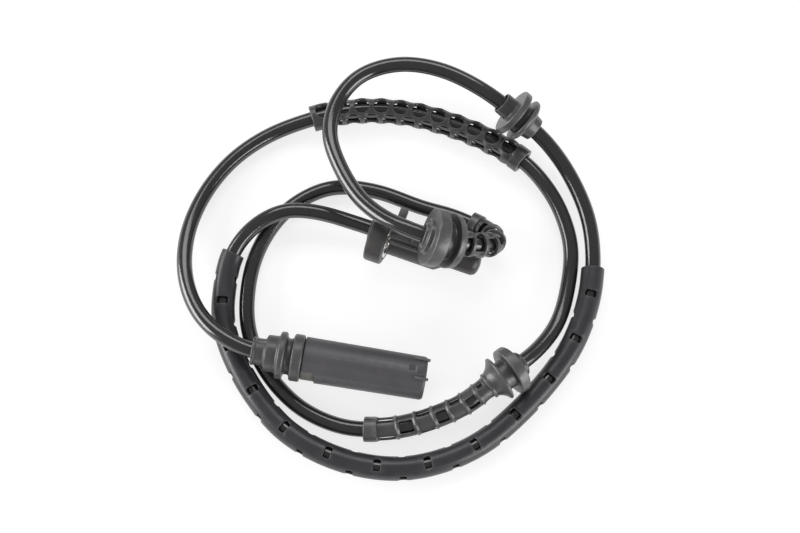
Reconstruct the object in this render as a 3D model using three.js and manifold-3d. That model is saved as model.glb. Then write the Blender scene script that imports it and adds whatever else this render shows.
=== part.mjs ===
// Wheel speed sensor: sensor head, one cable in loose coils, slotted sleeves, grommets and a round connector.
// Millimetres, +Z up, table at z = 0, +X along the probe, origin under the middle of the sensor head.
import * as THREE from "three";
import { mergeVertices } from "three/addons/utils/BufferGeometryUtils.js";
import Module from "manifold-3d";

const wasm = await Module();
wasm.setup();

// Clearances between pieces that touch on the real object.
const GAP = 0.3;

// Largest move of a surface when facets that lie flat together are joined.
const FLATNESS = 0.03;

// Cable.
const CABLE_R = 2.75;
const CABLE_SIDES = 8;
const WALL_SIDES = 8;
const WALL_BORE_SIDES = 8;
const RELIEF_SIDES = 12;
const DISC_SIDES = 18;
const LENS_SIDES = 6;
const SHELL_SIDES = 24;
const SMALL_SIDES = 10;
const CORE_R = 0.75;
const CORE_OFFSET = 1.25;

// Sensor head.
const AXIS_Z = 7;
const NUB_START = -20.5;
const NUB_R = 5.2;
const EAR_BACK = -18.4;
const EAR_FRONT = -12;
const EAR_LEAN = THREE.MathUtils.degToRad(35);
const EAR_REACH = 10.5;
const EAR_R = 8;
const EAR_HUB_R = 7;
const TAB_REACH = 10.2;
const TAB_X = -11.4;
const TAB_ROOT = 4;
const TAB_LENGTH = 3;
const BLOCK_R = 6.9;
const BLOCK_END = 5.3;
const NECK_R = 3.95;
const NECK_START = 9.4;
const NECK_END = 10.4;
const PROBE_R = 4.4;
const TIP_X = 20.5;
const TIP_R = 1.6;
const NOSE_LENGTH = 2.2;
const SHOULDER_R = 3.5;
const PAD_TOP = 7.5;
const PAD_END = 4.4;
const PAD_SIDES = [-3.3, 4.6];
const LEDGE_TOP = 6.1;
const LEDGE_END = 3.6;
const LEDGE_SIDES = [-4.9, -3.6];
const SLOT_WIDTH = 1.6;
const SLOT_FLOOR = 6.4;
const SLOT_SIDES = [-2.4, 3.8];
const BUSH_R = 5.6;
const BUSH_BORE_R = 3.3;
const ENTRY_BORE_R = 4;
const POCKET_R = 3.4;
const POCKET_STEP = -8;
const POCKET_END = 17.8;

// Slotted sleeve.
const SLEEVE_R = 4.3;
const SLEEVE_BORE_R = 3.25;
const NOTCH_LENGTH = 2.5;
const NOTCH_WIDTH = 3.1;
const NOTCH_START = 9.8;
const NOTCH_PITCH = 17.3;

// Scalloped guard.
const GUARD_R = 4.8;
const GUARD_BORE_R = 3.2;
const GUARD_FIRST = 6.9;
const GUARD_PITCH = 7.1;
const GUARD_WINDOW = 5.5;
const GUARD_WINDOW_WIDTH = 4.6;
const GUARD_ROLL = THREE.MathUtils.degToRad(27);

// Ladder relief shared by the two long grommets.
const LADDER_R = 3.95;
const LADDER_RING_R = 4.3;
const LADDER_BORE_R = 3.15;
const LADDER_PITCH = 6.1;
const LADDER_WINDOW_WIDTH = 4.4;
const LADDER_RING = 1.5;
const LADDER_ROLL = THREE.MathUtils.degToRad(18);
const LADDER_DISC = 54;
const CURL_PITCH = 4.9;
const CURL_DISC = 42.5;
const BAY_MARGIN = 1.9;
const GROMMET_BORE_R = 3.4;

// Connector.
const PLUG_START = 0.6;
const BOOT_END = 18;
const BOOT_SPIGOT_END = 24.4;
const SHELL_R = 7.7;
const SHELL_MOUTH_R = 7.4;
const SHELL_BORE_R = 6.5;
const SHELL_REAR_BORE_R = 6.8;
const SHELL_STEP = 25;
const SHELL_END = 60.3;
const INSERT_START = 31;
const INSERT_END = 48.5;
const PIN_R = 0.8;
const PIN_END = 56;
const PIN_PITCH = 3.8;

// Flat at the shell's rear, and panel, mark and latch ribs at its mouth: [from, to] along X, Y and Z.
const FLAT_LENGTH = 4.7;
const FLAT_DEPTH = 0.6;
const FLAT_WIDTH = 9;
const PANEL = [[57.1, 59.7], [-0.3, 4.7], [6.6, 9.2]];
const MARK = [[54.1, 56.3], [0.4, 2.8], [6.9, 8.7]];
const SIDE_RIB = [[55.7, 61.1], [4.8, 5.6], [4.6, 6.2]];
const TOP_RIB = [[56.2, 61], [-1.4, -0.6], [6.6, 8.1]];

// Chosen points of the cable centre line, from the head to the connector, one per sweep station.
const ROUTE_POINTS = [
  // Out of the head and over the inner coil.
  [-15, 0, 7],
  [-27, -0.2, 7.1],
  [-40, -1.5, 8.9],
  [-51.5, -5.3, 9.5],
  [-59.6, -13.8, 8.3],
  // Long sleeve on the table.
  [-63.8, -25, 5],
  [-62, -37, 4.2],
  [-57.5, -49.5, 4.2],
  [-48.5, -60.5, 4.2],
  [-37, -70, 4.2],
  [-23.5, -77.5, 4.2],
  [-9, -80.5, 4.2],
  [6, -80, 4.2],
  [20, -76, 4.2],
  [32.5, -68, 4.2],
  [42.5, -57.5, 4.2],
  [50, -44.5, 4.2],
  [56, -30.5, 4.2],
  [59.8, -17, 4.2],
  [60.8, -2.5, 4.2],
  [58.5, 13.5, 4.3],
  // Up to the plain grommet.
  [51.5, 30.4, 4.8],
  [39.9, 43.9, 6.4],
  [28.7, 51.4, 9.8],
  [20.8, 54.2, 13],
  [10.2, 56.6, 17.8],
  // Low hump over the guard.
  [-1.6, 59, 20.8],
  [-16.4, 60.2, 22],
  [-31, 57.1, 22],
  [-42.6, 48.4, 21],
  [-46.8, 36.2, 20.4],
  [-44.9, 24, 20.8],
  [-36.6, 12.6, 22.8],
  [-25, 2.6, 25.6],
  [-14, -2.3, 28.8],
  [-5.4, -3.8, 31],
  // Grommet over the head, then the curled relief down to the table.
  [1.1, -3.8, 30.1],
  [8.4, -1.6, 26.2],
  [15.3, 1.1, 21.8],
  [20.7, 4.1, 17.5],
  [22.9, 7.8, 13],
  [21.1, 11.5, 8.6],
  [16.7, 13.8, 5.5],
  [10.7, 14.8, 4.6],
  [4.6, 15.2, 4.5],
  // Inner coil on the table.
  [-6.2, 15, 3],
  [-25, 15.2, 2.95],
  [-41, 10.5, 2.95],
  [-52.4, -3, 2.95],
  [-56.2, -19.5, 2.95],
  [-54.2, -35, 2.95],
  [-48, -49.5, 2.95],
  [-36.5, -61, 2.95],
  [-21.5, -68.5, 2.95],
  [-7, -70, 3.4],
  // Ladder relief and its grommet, which leans on the long sleeve.
  [2.3, -68.3, 4.5],
  [13.5, -63.5, 4.9],
  [24, -56.3, 6.8],
  [32.6, -48.2, 9.2],
  [37.4, -40.9, 11.1],
  [43.6, -32.2, 11.3],
  // Inner right side.
  [49.1, -22.3, 7.7],
  [52.8, -9.5, 4],
  [52.2, 4.5, 2.95],
  [48.5, 19.5, 2.95],
  [39.5, 32.5, 3.3],
  [29.5, 40.3, 4.5],
  // Scalloped guard.
  [22.2, 44, 4.8],
  [9, 47.4, 4.8],
  [-6, 48.7, 4.8],
  [-21, 48, 4.8],
  [-35.5, 44.6, 4.8],
  [-47.5, 39.3, 4.8],
  [-56.3, 33.3, 4.8],
  // Outer left side and over the long sleeve to the connector.
  [-69, 22.5, 3.4],
  [-78, 9, 2.95],
  [-82.5, -6.8, 3.1],
  [-82, -23.5, 4.6],
  [-76, -38.9, 7.6],
  [-65.5, -50.6, 11],
  [-54.5, -56, 12.9],
  [-42.9, -57.5, 13.2],
  [-32.6, -55.4, 12.4],
];

// Counts along the route points at which the pieces on the cable sit.
const STATIONS = {
  sleeve: [5, 20],
  grommet: 24.5,
  curl: 35.82,
  ladder: 55,
  guard: [67, 73],
  plug: ROUTE_POINTS.length - 2,
};

const UP = new THREE.Vector3(0, 0, 1);
const CURL_SIDE = new THREE.Vector3(0, 0.785, 0.62);

const PALETTE = {
  jacket: [0x232225, 0.35, 0],
  rubber: [0x3a393b, 0.62, 0],
  sleeve: [0x363538, 0.5, 0],
  nylon: [0x39373a, 0.5, 0],
  steel: [0xc6c8ca, 0.28, 1],
  brass: [0xc9a25a, 0.3, 1],
  tin: [0xb9bcc0, 0.3, 1],
  resin: [0x1c1b1d, 0.45, 0],
  magnet: [0x4c4b4d, 0.4, 0.6],
  chip: [0x151516, 0.4, 0],
  seal: [0x7a4a32, 0.6, 0],
  coreA: [0xe2ddd2, 0.45, 0],
  coreB: [0x5b3a26, 0.45, 0],
};

// Curve whose spaced points are its own stations, so swept pieces share one polyline.
class StationCurve extends THREE.Curve {
  constructor(points, from = 0, to = points.length - 1) {
    super();
    this.points = points;
    this.from = from;
    this.to = to;
  }

  getPoint(t, target = new THREE.Vector3()) {
    const last = this.points.length - 1;
    const at = THREE.MathUtils.clamp(this.from + (this.to - this.from) * t, 0, last);
    const i = Math.min(Math.floor(at), last - 1);
    return target.lerpVectors(this.points[i], this.points[i + 1], at - i);
  }

  getTangent(t, target = new THREE.Vector3()) {
    const at = this.from + (this.to - this.from) * t;
    const before = this.getPoint((Math.max(at - 0.5, 0) - this.from) / (this.to - this.from));
    const last = Math.min(at + 0.5, this.points.length - 1);
    const after = this.getPoint((last - this.from) / (this.to - this.from));
    return target.copy(after.sub(before).normalize());
  }

  getUtoTmapping(u) {
    return u;
  }
}

const routePoints = ROUTE_POINTS.map((p) => new THREE.Vector3(...p));
const route = new StationCurve(routePoints);

// Closed solid from any geometry, moved by a matrix, with its faces turned outward.
function solid(geometry, matrix = new THREE.Matrix4()) {
  const bare = geometry.clone();
  bare.deleteAttribute("normal");
  bare.deleteAttribute("uv");
  bare.applyMatrix4(matrix);
  const merged = mergeVertices(bare, 1e-4);
  const vertProperties = merged.attributes.position.array;
  const triVerts = new Uint32Array(merged.index.array);
  const body = new wasm.Manifold(new wasm.Mesh({ numProp: 3, vertProperties, triVerts }));
  if (body.volume() > 0) return body;
  for (let i = 0; i < triVerts.length; i += 3) {
    [triVerts[i + 1], triVerts[i + 2]] = [triVerts[i + 2], triVerts[i + 1]];
  }
  return new wasm.Manifold(new wasm.Mesh({ numProp: 3, vertProperties, triVerts }));
}

// Closed ring of [along, radius] pairs turned about +Y.
function lathed(profile, segments) {
  const points = profile.map(([along, radius]) => new THREE.Vector2(radius, along));
  points.push(points[0].clone());
  return new THREE.LatheGeometry(points, segments);
}

// Body of revolution about X from [along, radius] pairs that close on themselves or on the axis.
function turned(profile, segments, matrix) {
  return solid(lathed(profile, segments).rotateZ(-Math.PI / 2), matrix);
}

function box(size, centre, matrix = new THREE.Matrix4()) {
  const place = matrix.clone().multiply(new THREE.Matrix4().makeTranslation(...centre));
  return solid(new THREE.BoxGeometry(...size), place);
}

// Box from three [from, to] pairs.
function block(spans, matrix) {
  const size = spans.map(([from, to]) => to - from);
  const centre = spans.map(([from, to]) => (from + to) / 2);
  return box(size, centre, matrix);
}

// Cylinder along X between two places.
function rod(from, to, radius, segments, y = 0, z = 0, matrix = new THREE.Matrix4()) {
  const place = matrix.clone().multiply(new THREE.Matrix4().makeTranslation(0, y, z));
  const profile = [
    [from, 0],
    [from, radius],
    [to, radius],
    [to, 0],
  ];
  return turned(profile, segments, place);
}

function ringShape(radius, boreRadius, sides, boreSides) {
  const circle = (r, n, turn) =>
    Array.from({ length: n }, (_, i) => {
      const angle = turn + (2 * Math.PI * i) / n;
      return new THREE.Vector2(r * Math.cos(angle), r * Math.sin(angle));
    });
  const shape = new THREE.Shape(circle(radius, sides, Math.PI / sides));
  if (boreRadius) shape.holes.push(new THREE.Path(circle(boreRadius, boreSides, Math.PI / boreSides)));
  return shape;
}

// Round tube swept along the route between two stations.
function swept(shape, from, to) {
  const path = new StationCurve(routePoints, from, to);
  const steps = Math.round(to - from);
  const geometry = new THREE.ExtrudeGeometry(shape, { steps, extrudePath: path, bevelEnabled: false });
  return solid(geometry);
}

// Frame on the route: X along it, Z towards the side vector, rolled about X.
function frameAt(station, side = UP, roll = 0) {
  const t = station / (routePoints.length - 1);
  const along = route.getTangent(t);
  const across = new THREE.Vector3().crossVectors(side, along).normalize();
  const up = new THREE.Vector3().crossVectors(along, across);
  const place = new THREE.Matrix4().makeBasis(along, across, up).setPosition(route.getPoint(t));
  return place.multiply(new THREE.Matrix4().makeRotationX(roll));
}

// Station that lies a given length past another one.
function stationPast(station, length) {
  let at = station;
  let left = length;
  while (left > 0) {
    const i = Math.floor(at + 1e-9);
    const span = routePoints[i].distanceTo(routePoints[i + 1]);
    const rest = (i + 1 - at) * span;
    if (rest > left) return at + left / span;
    left -= rest;
    at = i + 1;
  }
  return at;
}

// Length along the route between two stations.
function lengthBetween(from, to) {
  const last = routePoints.length - 1;
  let total = 0;
  let at = from;
  while (at < to - 1e-9) {
    const next = Math.min(Math.floor(at + 1e-9) + 1, to);
    total += route.getPoint(at / last).distanceTo(route.getPoint(next / last));
    at = next;
  }
  return total;
}

// The origin lies under the middle of the head, whose ear and tab reach out by different lengths.
const earSide = EAR_REACH * Math.sin(EAR_LEAN) + EAR_R;
const root = new THREE.Group();
root.name = "wheel_speed_sensor";
const assembly = new THREE.Group();
assembly.position.y = (earSide - TAB_REACH) / 2;
root.add(assembly);

function add(name, body, finish) {
  const mesh = body.simplify(FLATNESS).getMesh();
  const geometry = new THREE.BufferGeometry();
  geometry.setAttribute("position", new THREE.BufferAttribute(new Float32Array(mesh.vertProperties), 3));
  geometry.setIndex(new THREE.BufferAttribute(new Uint32Array(mesh.triVerts), 1));
  geometry.computeVertexNormals();
  const [color, roughness, metalness] = PALETTE[finish];
  const piece = new THREE.Mesh(geometry, new THREE.MeshStandardMaterial({ color, roughness, metalness }));
  piece.name = name;
  assembly.add(piece);
}

// Sensor head.
const head = new THREE.Matrix4().makeTranslation(0, 0, AXIS_Z);
const earY = -EAR_REACH * Math.sin(EAR_LEAN);
const earZ = EAR_REACH * Math.cos(EAR_LEAN);
const bodyProfile = [
  [NUB_START, 0],
  [NUB_START, NUB_R - 0.5],
  [NUB_START + 0.5, NUB_R],
  [EAR_BACK + 1, NUB_R],
  [EAR_BACK + 1, BLOCK_R],
  [BLOCK_END, BLOCK_R],
  [NECK_START, NECK_R],
  [NECK_END, NECK_R],
  [NECK_END + 0.4, PROBE_R],
  [TIP_X - NOSE_LENGTH, PROBE_R],
  [TIP_X - NOSE_LENGTH / 3, SHOULDER_R],
  [TIP_X, TIP_R],
  [TIP_X, 0],
];
const ear = wasm.Manifold.hull([
  rod(EAR_BACK, EAR_FRONT, EAR_HUB_R, DISC_SIDES, 0, 0, head),
  rod(EAR_BACK, EAR_FRONT, EAR_R, DISC_SIDES, earY, earZ, head),
]);
const tab = [[TAB_X - TAB_LENGTH / 2, TAB_X + TAB_LENGTH / 2], [TAB_ROOT, TAB_REACH], [0.4, 2.8]];
let housing = turned(bodyProfile, DISC_SIDES, head)
  .add(ear)
  .add(block(tab, head))
  .add(block([[EAR_FRONT - 1, PAD_END], PAD_SIDES, [BLOCK_R - 3, PAD_TOP]], head))
  .add(block([[EAR_FRONT - 1, LEDGE_END], LEDGE_SIDES, [BLOCK_R - 3.4, LEDGE_TOP]], head))
  .subtract(rod(EAR_BACK - 1, EAR_FRONT + 1, BUSH_R + GAP / 2, DISC_SIDES, earY, earZ, head))
  .subtract(rod(NUB_START - 1, POCKET_STEP, ENTRY_BORE_R, 24, 0, 0, head))
  .subtract(rod(POCKET_STEP - 1, POCKET_END, POCKET_R, 24, 0, 0, head));
for (const x of [-4.6, -1.4, 1.8]) {
  const slot = [[x - SLOT_WIDTH / 2, x + SLOT_WIDTH / 2], SLOT_SIDES, [SLOT_FLOOR, PAD_TOP + 1]];
  housing = housing.subtract(block(slot, head));
}
add("sensor_housing", housing, "nylon");

const bushProfile = [
  [EAR_BACK - 0.2, BUSH_BORE_R],
  [EAR_BACK - 0.2, BUSH_R - GAP / 2],
  [EAR_FRONT + 0.2, BUSH_R - GAP / 2],
  [EAR_FRONT + 0.2, BUSH_BORE_R],
];
const bushPlace = head.clone().multiply(new THREE.Matrix4().makeTranslation(0, earY, earZ));
add("ear_bush", turned(bushProfile, DISC_SIDES, bushPlace), "steel");

const plugRing = [
  [NUB_START + 0.4, CABLE_R + GAP],
  [NUB_START + 0.4, ENTRY_BORE_R - GAP],
  [EAR_BACK + 0.8, ENTRY_BORE_R - GAP],
  [EAR_BACK + 0.8, CABLE_R + GAP],
];
add("entry_plug", turned(plugRing, 24, head), "resin");

const carrierTop = -0.5;
const carrier = box([24.4, 4.8, 1.4], [5, 0, carrierTop - 0.7], head)
  .add(box([0.8, 3.2, 2.6], [16.8, 0, 0.1], head));
add("sensor_carrier", carrier, "resin");
add("hall_element", box([3.8, 4, 1.6], [14.1, 0, carrierTop + GAP + 0.8], head), "chip");
add("bias_magnet", box([4.2, 4, 2], [9.6, 0, carrierTop + GAP + 1], head), "magnet");
for (const [side, y] of [["a", CORE_OFFSET], ["b", -CORE_OFFSET]]) {
  const tab = box([11.5, 1.2, 0.5], [1.2, y, carrierTop + GAP + 0.25], head)
    .add(box([3, 1.2, 1.2], [-3, y, carrierTop + GAP + 0.6], head));
  add("lead_terminal_" + side, tab, "tin");
  add("head_core_" + side, rod(-14.7, -4.8, CORE_R, 10, y, 0.3, head), side === "a" ? "coreA" : "coreB");
}

// Cable.
const lastStation = routePoints.length - 1;
add("cable", swept(ringShape(CABLE_R, 0, CABLE_SIDES), 0, lastStation), "jacket");

// Long sleeve with notch pairs that turn by a quarter at every half pitch.
let sleeve = swept(ringShape(SLEEVE_R, SLEEVE_BORE_R, WALL_SIDES, WALL_BORE_SIDES), ...STATIONS.sleeve);
const sleeveLength = lengthBetween(...STATIONS.sleeve);
let quarter = 0;
for (let s = NOTCH_START; s < sleeveLength - 6; s += NOTCH_PITCH / 2) {
  const place = frameAt(stationPast(STATIONS.sleeve[0], s), UP, (quarter++ % 2) * Math.PI / 2);
  sleeve = sleeve.subtract(box([NOTCH_LENGTH, 3 * SLEEVE_R, NOTCH_WIDTH], [0, 0, 0], place));
}
add("long_sleeve", sleeve, "sleeve");

// Guard with lens windows in four rows, which are rolled about the cable.
function lens(length, width, depth, place) {
  const corners = Array.from({ length: LENS_SIDES }, (_, i) => {
    const angle = (2 * Math.PI * (i + 0.5)) / LENS_SIDES;
    return new THREE.Vector2((length / 2) * Math.cos(angle), (width / 2) * Math.sin(angle));
  });
  const geometry = new THREE.ExtrudeGeometry(new THREE.Shape(corners), { depth, bevelEnabled: false });
  geometry.translate(0, 0, -depth / 2);
  return solid(geometry, place);
}
const guardRing = ringShape(GUARD_R, GUARD_BORE_R, WALL_SIDES, WALL_BORE_SIDES);
let guard = swept(guardRing, ...STATIONS.guard);
const guardLength = lengthBetween(...STATIONS.guard);
const guardLast = guardLength - GUARD_WINDOW / 2 - 1.5;
let row = 0;
for (let s = GUARD_FIRST; s < guardLast; s += GUARD_PITCH / 2) {
  const roll = GUARD_ROLL + ((row++ % 2) * Math.PI) / 2;
  const place = frameAt(stationPast(STATIONS.guard[0], s), UP, roll);
  guard = guard.subtract(lens(GUARD_WINDOW, GUARD_WINDOW_WIDTH, 3 * GUARD_R, place));
}
add("scalloped_guard", guard, "rubber");

// Profile of revolution bent along the route from a station on.
function bentTurned(profile, sides, station, side) {
  const geometry = lathed(profile, sides);
  const position = geometry.getAttribute("position");
  const vertex = new THREE.Vector3();
  for (let i = 0; i < position.count; i++) {
    vertex.fromBufferAttribute(position, i);
    const place = frameAt(stationPast(station, vertex.y), side);
    vertex.set(0, vertex.x, vertex.z).applyMatrix4(place);
    position.setXYZ(i, vertex.x, vertex.y, vertex.z);
  }
  return solid(geometry);
}

// Grommet and bend relief in one moulding. Lengths count from the far collar towards the grommet.
// Bays between the raised rings have windows that turn by a quarter from bay to bay.
function relief({ start, side, roll = 0, endCollar, firstRing, rings, pitch, grommet, mirrored }) {
  const outline = [
    [0, LADDER_BORE_R],
    [0, LADDER_RING_R],
    [endCollar, LADDER_RING_R],
    [endCollar, LADDER_R],
  ];
  for (let i = 0; i < rings; i++) {
    const at = firstRing + i * pitch;
    outline.push([at - LADDER_RING / 2, LADDER_R]);
    outline.push([at - LADDER_RING / 2, LADDER_RING_R]);
    outline.push([at + LADDER_RING / 2, LADDER_RING_R]);
    outline.push([at + LADDER_RING / 2, LADDER_R]);
  }
  outline.push(...grommet);
  const total = outline[outline.length - 1][0];
  const lengthAt = (along) => (mirrored ? total - along : along);
  const end = stationPast(start, total);
  const bore = [];
  for (let at = Math.floor(start) + 1; at < end; at++) {
    const along = lengthAt(lengthBetween(start, at));
    if (along < total - 0.2 && along > 0.2) bore.push([along, LADDER_BORE_R]);
  }
  bore.sort((a, b) => b[0] - a[0]);
  const profile = [...outline, ...bore].map(([along, radius]) => [lengthAt(along), radius]);
  let body = bentTurned(profile, RELIEF_SIDES, start, side);
  for (let i = 0; i < rings; i++) {
    const at = lengthAt(firstRing + (i - 0.5) * pitch);
    const place = frameAt(stationPast(start, at), side, roll + ((i % 2) * Math.PI) / 2);
    body = body.subtract(box([pitch - BAY_MARGIN, 3 * LADDER_R, LADDER_WINDOW_WIDTH], [0, 0, 0], place));
  }
  return body;
}

const ladderRelief = relief({
  start: STATIONS.ladder,
  side: UP,
  roll: LADDER_ROLL,
  endCollar: 4.3,
  firstRing: 11.3,
  rings: 6,
  pitch: LADDER_PITCH,
  grommet: [
    [LADDER_DISC - 8.8, 4.4],
    [LADDER_DISC - 8.2, 4.55],
    [LADDER_DISC - 6.2, 5.2],
    [LADDER_DISC - 4.8, 6.4],
    [LADDER_DISC - 3.9, 8],
    [LADDER_DISC - 3.1, 7.8],
    [LADDER_DISC - 3.1, 5.3],
    [LADDER_DISC + 0.1, 5.3],
    [LADDER_DISC + 0.1, 8.6],
    [LADDER_DISC + 3.3, 8.6],
    [LADDER_DISC + 3.3, 4.85],
    [LADDER_DISC + 5.8, 4.85],
    [LADDER_DISC + 5.8, LADDER_BORE_R],
  ],
});
add("ladder_grommet", ladderRelief, "rubber");

const curlRelief = relief({
  start: STATIONS.curl,
  side: CURL_SIDE,
  mirrored: true,
  endCollar: 4,
  firstRing: 10.7,
  rings: 5,
  pitch: CURL_PITCH,
  grommet: [
    [CURL_DISC - 7.3, 4.5],
    [CURL_DISC - 6.4, 5.4],
    [CURL_DISC - 6.2, 9.2],
    [CURL_DISC - 3.6, 9.6],
    [CURL_DISC - 3.6, 6.4],
    [CURL_DISC, 6.4],
    [CURL_DISC, 10],
    [CURL_DISC + 3.4, 10],
    [CURL_DISC + 3.4, 6.1],
    [CURL_DISC + 4.9, 5.9],
    [CURL_DISC + 4.9, 4.3],
    [CURL_DISC + 5.8, 4.2],
    [CURL_DISC + 5.8, LADDER_BORE_R],
  ],
});
add("curled_grommet", curlRelief, "rubber");

const plainGrommetProfile = [
  [-8, GROMMET_BORE_R],
  [-8, 3.9],
  [-3.4, 4.1],
  [-3.4, 8.75],
  [-0.8, 8.75],
  [-0.8, 5.6],
  [1.8, 5.6],
  [1.8, 8.6],
  [3.8, 8.3],
  [4.4, 5],
  [8, 4.2],
  [8, GROMMET_BORE_R],
];
add("plain_grommet", turned(plainGrommetProfile, DISC_SIDES, frameAt(STATIONS.grommet)), "rubber");

// Connector on the last straight stretch: X along it, Z up.
const plugFrom = routePoints[STATIONS.plug];
const plugAlong = routePoints[lastStation].clone().sub(plugFrom).normalize();
const plugAcross = new THREE.Vector3().crossVectors(UP, plugAlong).normalize();
const plugUp = new THREE.Vector3().crossVectors(plugAlong, plugAcross);
const plug = new THREE.Matrix4().makeBasis(plugAlong, plugAcross, plugUp).setPosition(plugFrom);
const cableEnd = plugFrom.distanceTo(routePoints[lastStation]);

const bootProfile = [
  [PLUG_START, CABLE_R + GAP],
  [PLUG_START, 4.9],
  [1.4, 4.9],
  [1.6, 4.7],
  [5.2, 4.7],
  [5.6, 6.2],
  [10.2, 6.4],
  [10.4, 8.2],
  [12.2, 8.2],
  [12.4, 6.2],
  [15.2, 6.2],
  [15.4, 8.1],
  [BOOT_END - 0.2, 8.1],
  [BOOT_END, 7.9],
  [BOOT_END, SHELL_REAR_BORE_R - GAP],
  [BOOT_SPIGOT_END, SHELL_REAR_BORE_R - GAP],
  [BOOT_SPIGOT_END, CABLE_R + GAP],
];
add("connector_boot", turned(bootProfile, DISC_SIDES, plug), "rubber");

const shellProfile = [
  [BOOT_END + GAP, SHELL_REAR_BORE_R],
  [BOOT_END + GAP, SHELL_R - 0.2],
  [BOOT_END + 0.6, SHELL_R],
  [SHELL_END - 0.8, SHELL_MOUTH_R],
  [SHELL_END, SHELL_MOUTH_R - 0.5],
  [SHELL_END, SHELL_BORE_R],
  [SHELL_STEP, SHELL_BORE_R],
  [SHELL_STEP, SHELL_REAR_BORE_R],
];
const flatEnd = BOOT_END + GAP + FLAT_LENGTH;
const flat = [[BOOT_END, flatEnd], [-SHELL_R - 1, FLAT_DEPTH - SHELL_R], [-FLAT_WIDTH / 2, FLAT_WIDTH / 2]];
const shell = turned(shellProfile, SHELL_SIDES, plug)
  .subtract(block(flat, plug))
  .subtract(block(PANEL, plug))
  .add(block(SIDE_RIB, plug))
  .add(block(TOP_RIB, plug))
  .subtract(block(MARK, plug));
add("connector_shell", shell, "nylon");

const insertR = SHELL_BORE_R - GAP;
let insert = rod(INSERT_START, INSERT_END, insertR, DISC_SIDES, 0, 0, plug);
const pinY = PIN_PITCH / 2;
for (const y of [pinY, -pinY]) {
  const pinBoreR = PIN_R + GAP + 0.1;
  insert = insert.subtract(rod(INSERT_START - 1, INSERT_END + 1, pinBoreR, SMALL_SIDES, y, 0, plug));
}
add("contact_insert", insert, "resin");
for (const [side, y] of [["a", pinY], ["b", -pinY]]) {
  const pinProfile = [
    [INSERT_START + 2, 0],
    [INSERT_START + 2, PIN_R + 0.1],
    [INSERT_START + 7, PIN_R + 0.1],
    [INSERT_START + 7.4, PIN_R],
    [PIN_END - 0.6, PIN_R],
    [PIN_END, PIN_R / 2],
    [PIN_END, 0],
  ];
  const pinPlace = plug.clone().multiply(new THREE.Matrix4().makeTranslation(0, y, 0));
  const pin = turned(pinProfile, SMALL_SIDES, pinPlace);
  add("contact_pin_" + side, pin, "brass");
  const seal = [
    [27.2, 1.1],
    [27.2, 2.3 - GAP],
    [28.2, 1.45],
    [29.2, 1.6],
    [30.6, 1.6],
    [30.6, 1.1],
  ];
  const sealPlace = plug.clone().multiply(new THREE.Matrix4().makeTranslation(0, y, 0));
  add("wire_seal_" + side, turned(seal, SMALL_SIDES, sealPlace), "seal");
  const coreFrom = new THREE.Vector3(cableEnd + 0.4, y * 0.65, 0);
  const corePath = new THREE.CatmullRomCurve3([
    coreFrom,
    new THREE.Vector3(cableEnd + 4, y * 0.65, 0),
    new THREE.Vector3(24, y, 0),
    new THREE.Vector3(32.6, y, 0),
  ]);
  const coreSweep = { steps: 8, extrudePath: corePath, bevelEnabled: false };
  const core = new THREE.ExtrudeGeometry(ringShape(CORE_R, 0, 8), coreSweep);
  add("plug_core_" + side, solid(core, plug), side === "a" ? "coreA" : "coreB");
}

export default root;
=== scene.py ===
"""Dressed model of a wheel speed sensor: head, cable, sleeves, grommets and connector.

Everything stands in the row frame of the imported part. The route is in metres, as the
part has it, and the sizes inside the classes are millimetres.
"""

import bisect
import logging
import math
from dataclasses import dataclass, field
from enum import Enum
from typing import Callable, Iterable, Mapping, Sequence

import bmesh
import bpy
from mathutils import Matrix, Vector


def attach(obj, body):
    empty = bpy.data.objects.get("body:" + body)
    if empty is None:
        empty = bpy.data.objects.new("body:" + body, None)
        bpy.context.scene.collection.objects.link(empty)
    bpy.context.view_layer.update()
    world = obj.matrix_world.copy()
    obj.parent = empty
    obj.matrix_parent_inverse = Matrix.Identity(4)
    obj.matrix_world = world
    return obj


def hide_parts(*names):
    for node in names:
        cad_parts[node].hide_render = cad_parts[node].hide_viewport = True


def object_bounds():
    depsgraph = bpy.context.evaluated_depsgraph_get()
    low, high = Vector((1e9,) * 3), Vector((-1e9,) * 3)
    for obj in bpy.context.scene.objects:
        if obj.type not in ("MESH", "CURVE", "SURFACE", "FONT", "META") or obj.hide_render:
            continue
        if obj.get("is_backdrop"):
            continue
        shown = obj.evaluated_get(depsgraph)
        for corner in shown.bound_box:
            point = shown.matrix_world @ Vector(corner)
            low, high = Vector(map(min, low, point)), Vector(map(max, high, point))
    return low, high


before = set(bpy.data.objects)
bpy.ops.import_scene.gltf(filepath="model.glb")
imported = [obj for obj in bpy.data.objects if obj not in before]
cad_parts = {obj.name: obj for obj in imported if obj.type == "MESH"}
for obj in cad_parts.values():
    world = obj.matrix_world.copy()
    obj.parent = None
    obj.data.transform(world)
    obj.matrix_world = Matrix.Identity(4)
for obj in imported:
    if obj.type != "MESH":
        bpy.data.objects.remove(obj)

LOG = logging.getLogger("wheel_speed_sensor")
MM = 0.001
BODY = "root"

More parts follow.
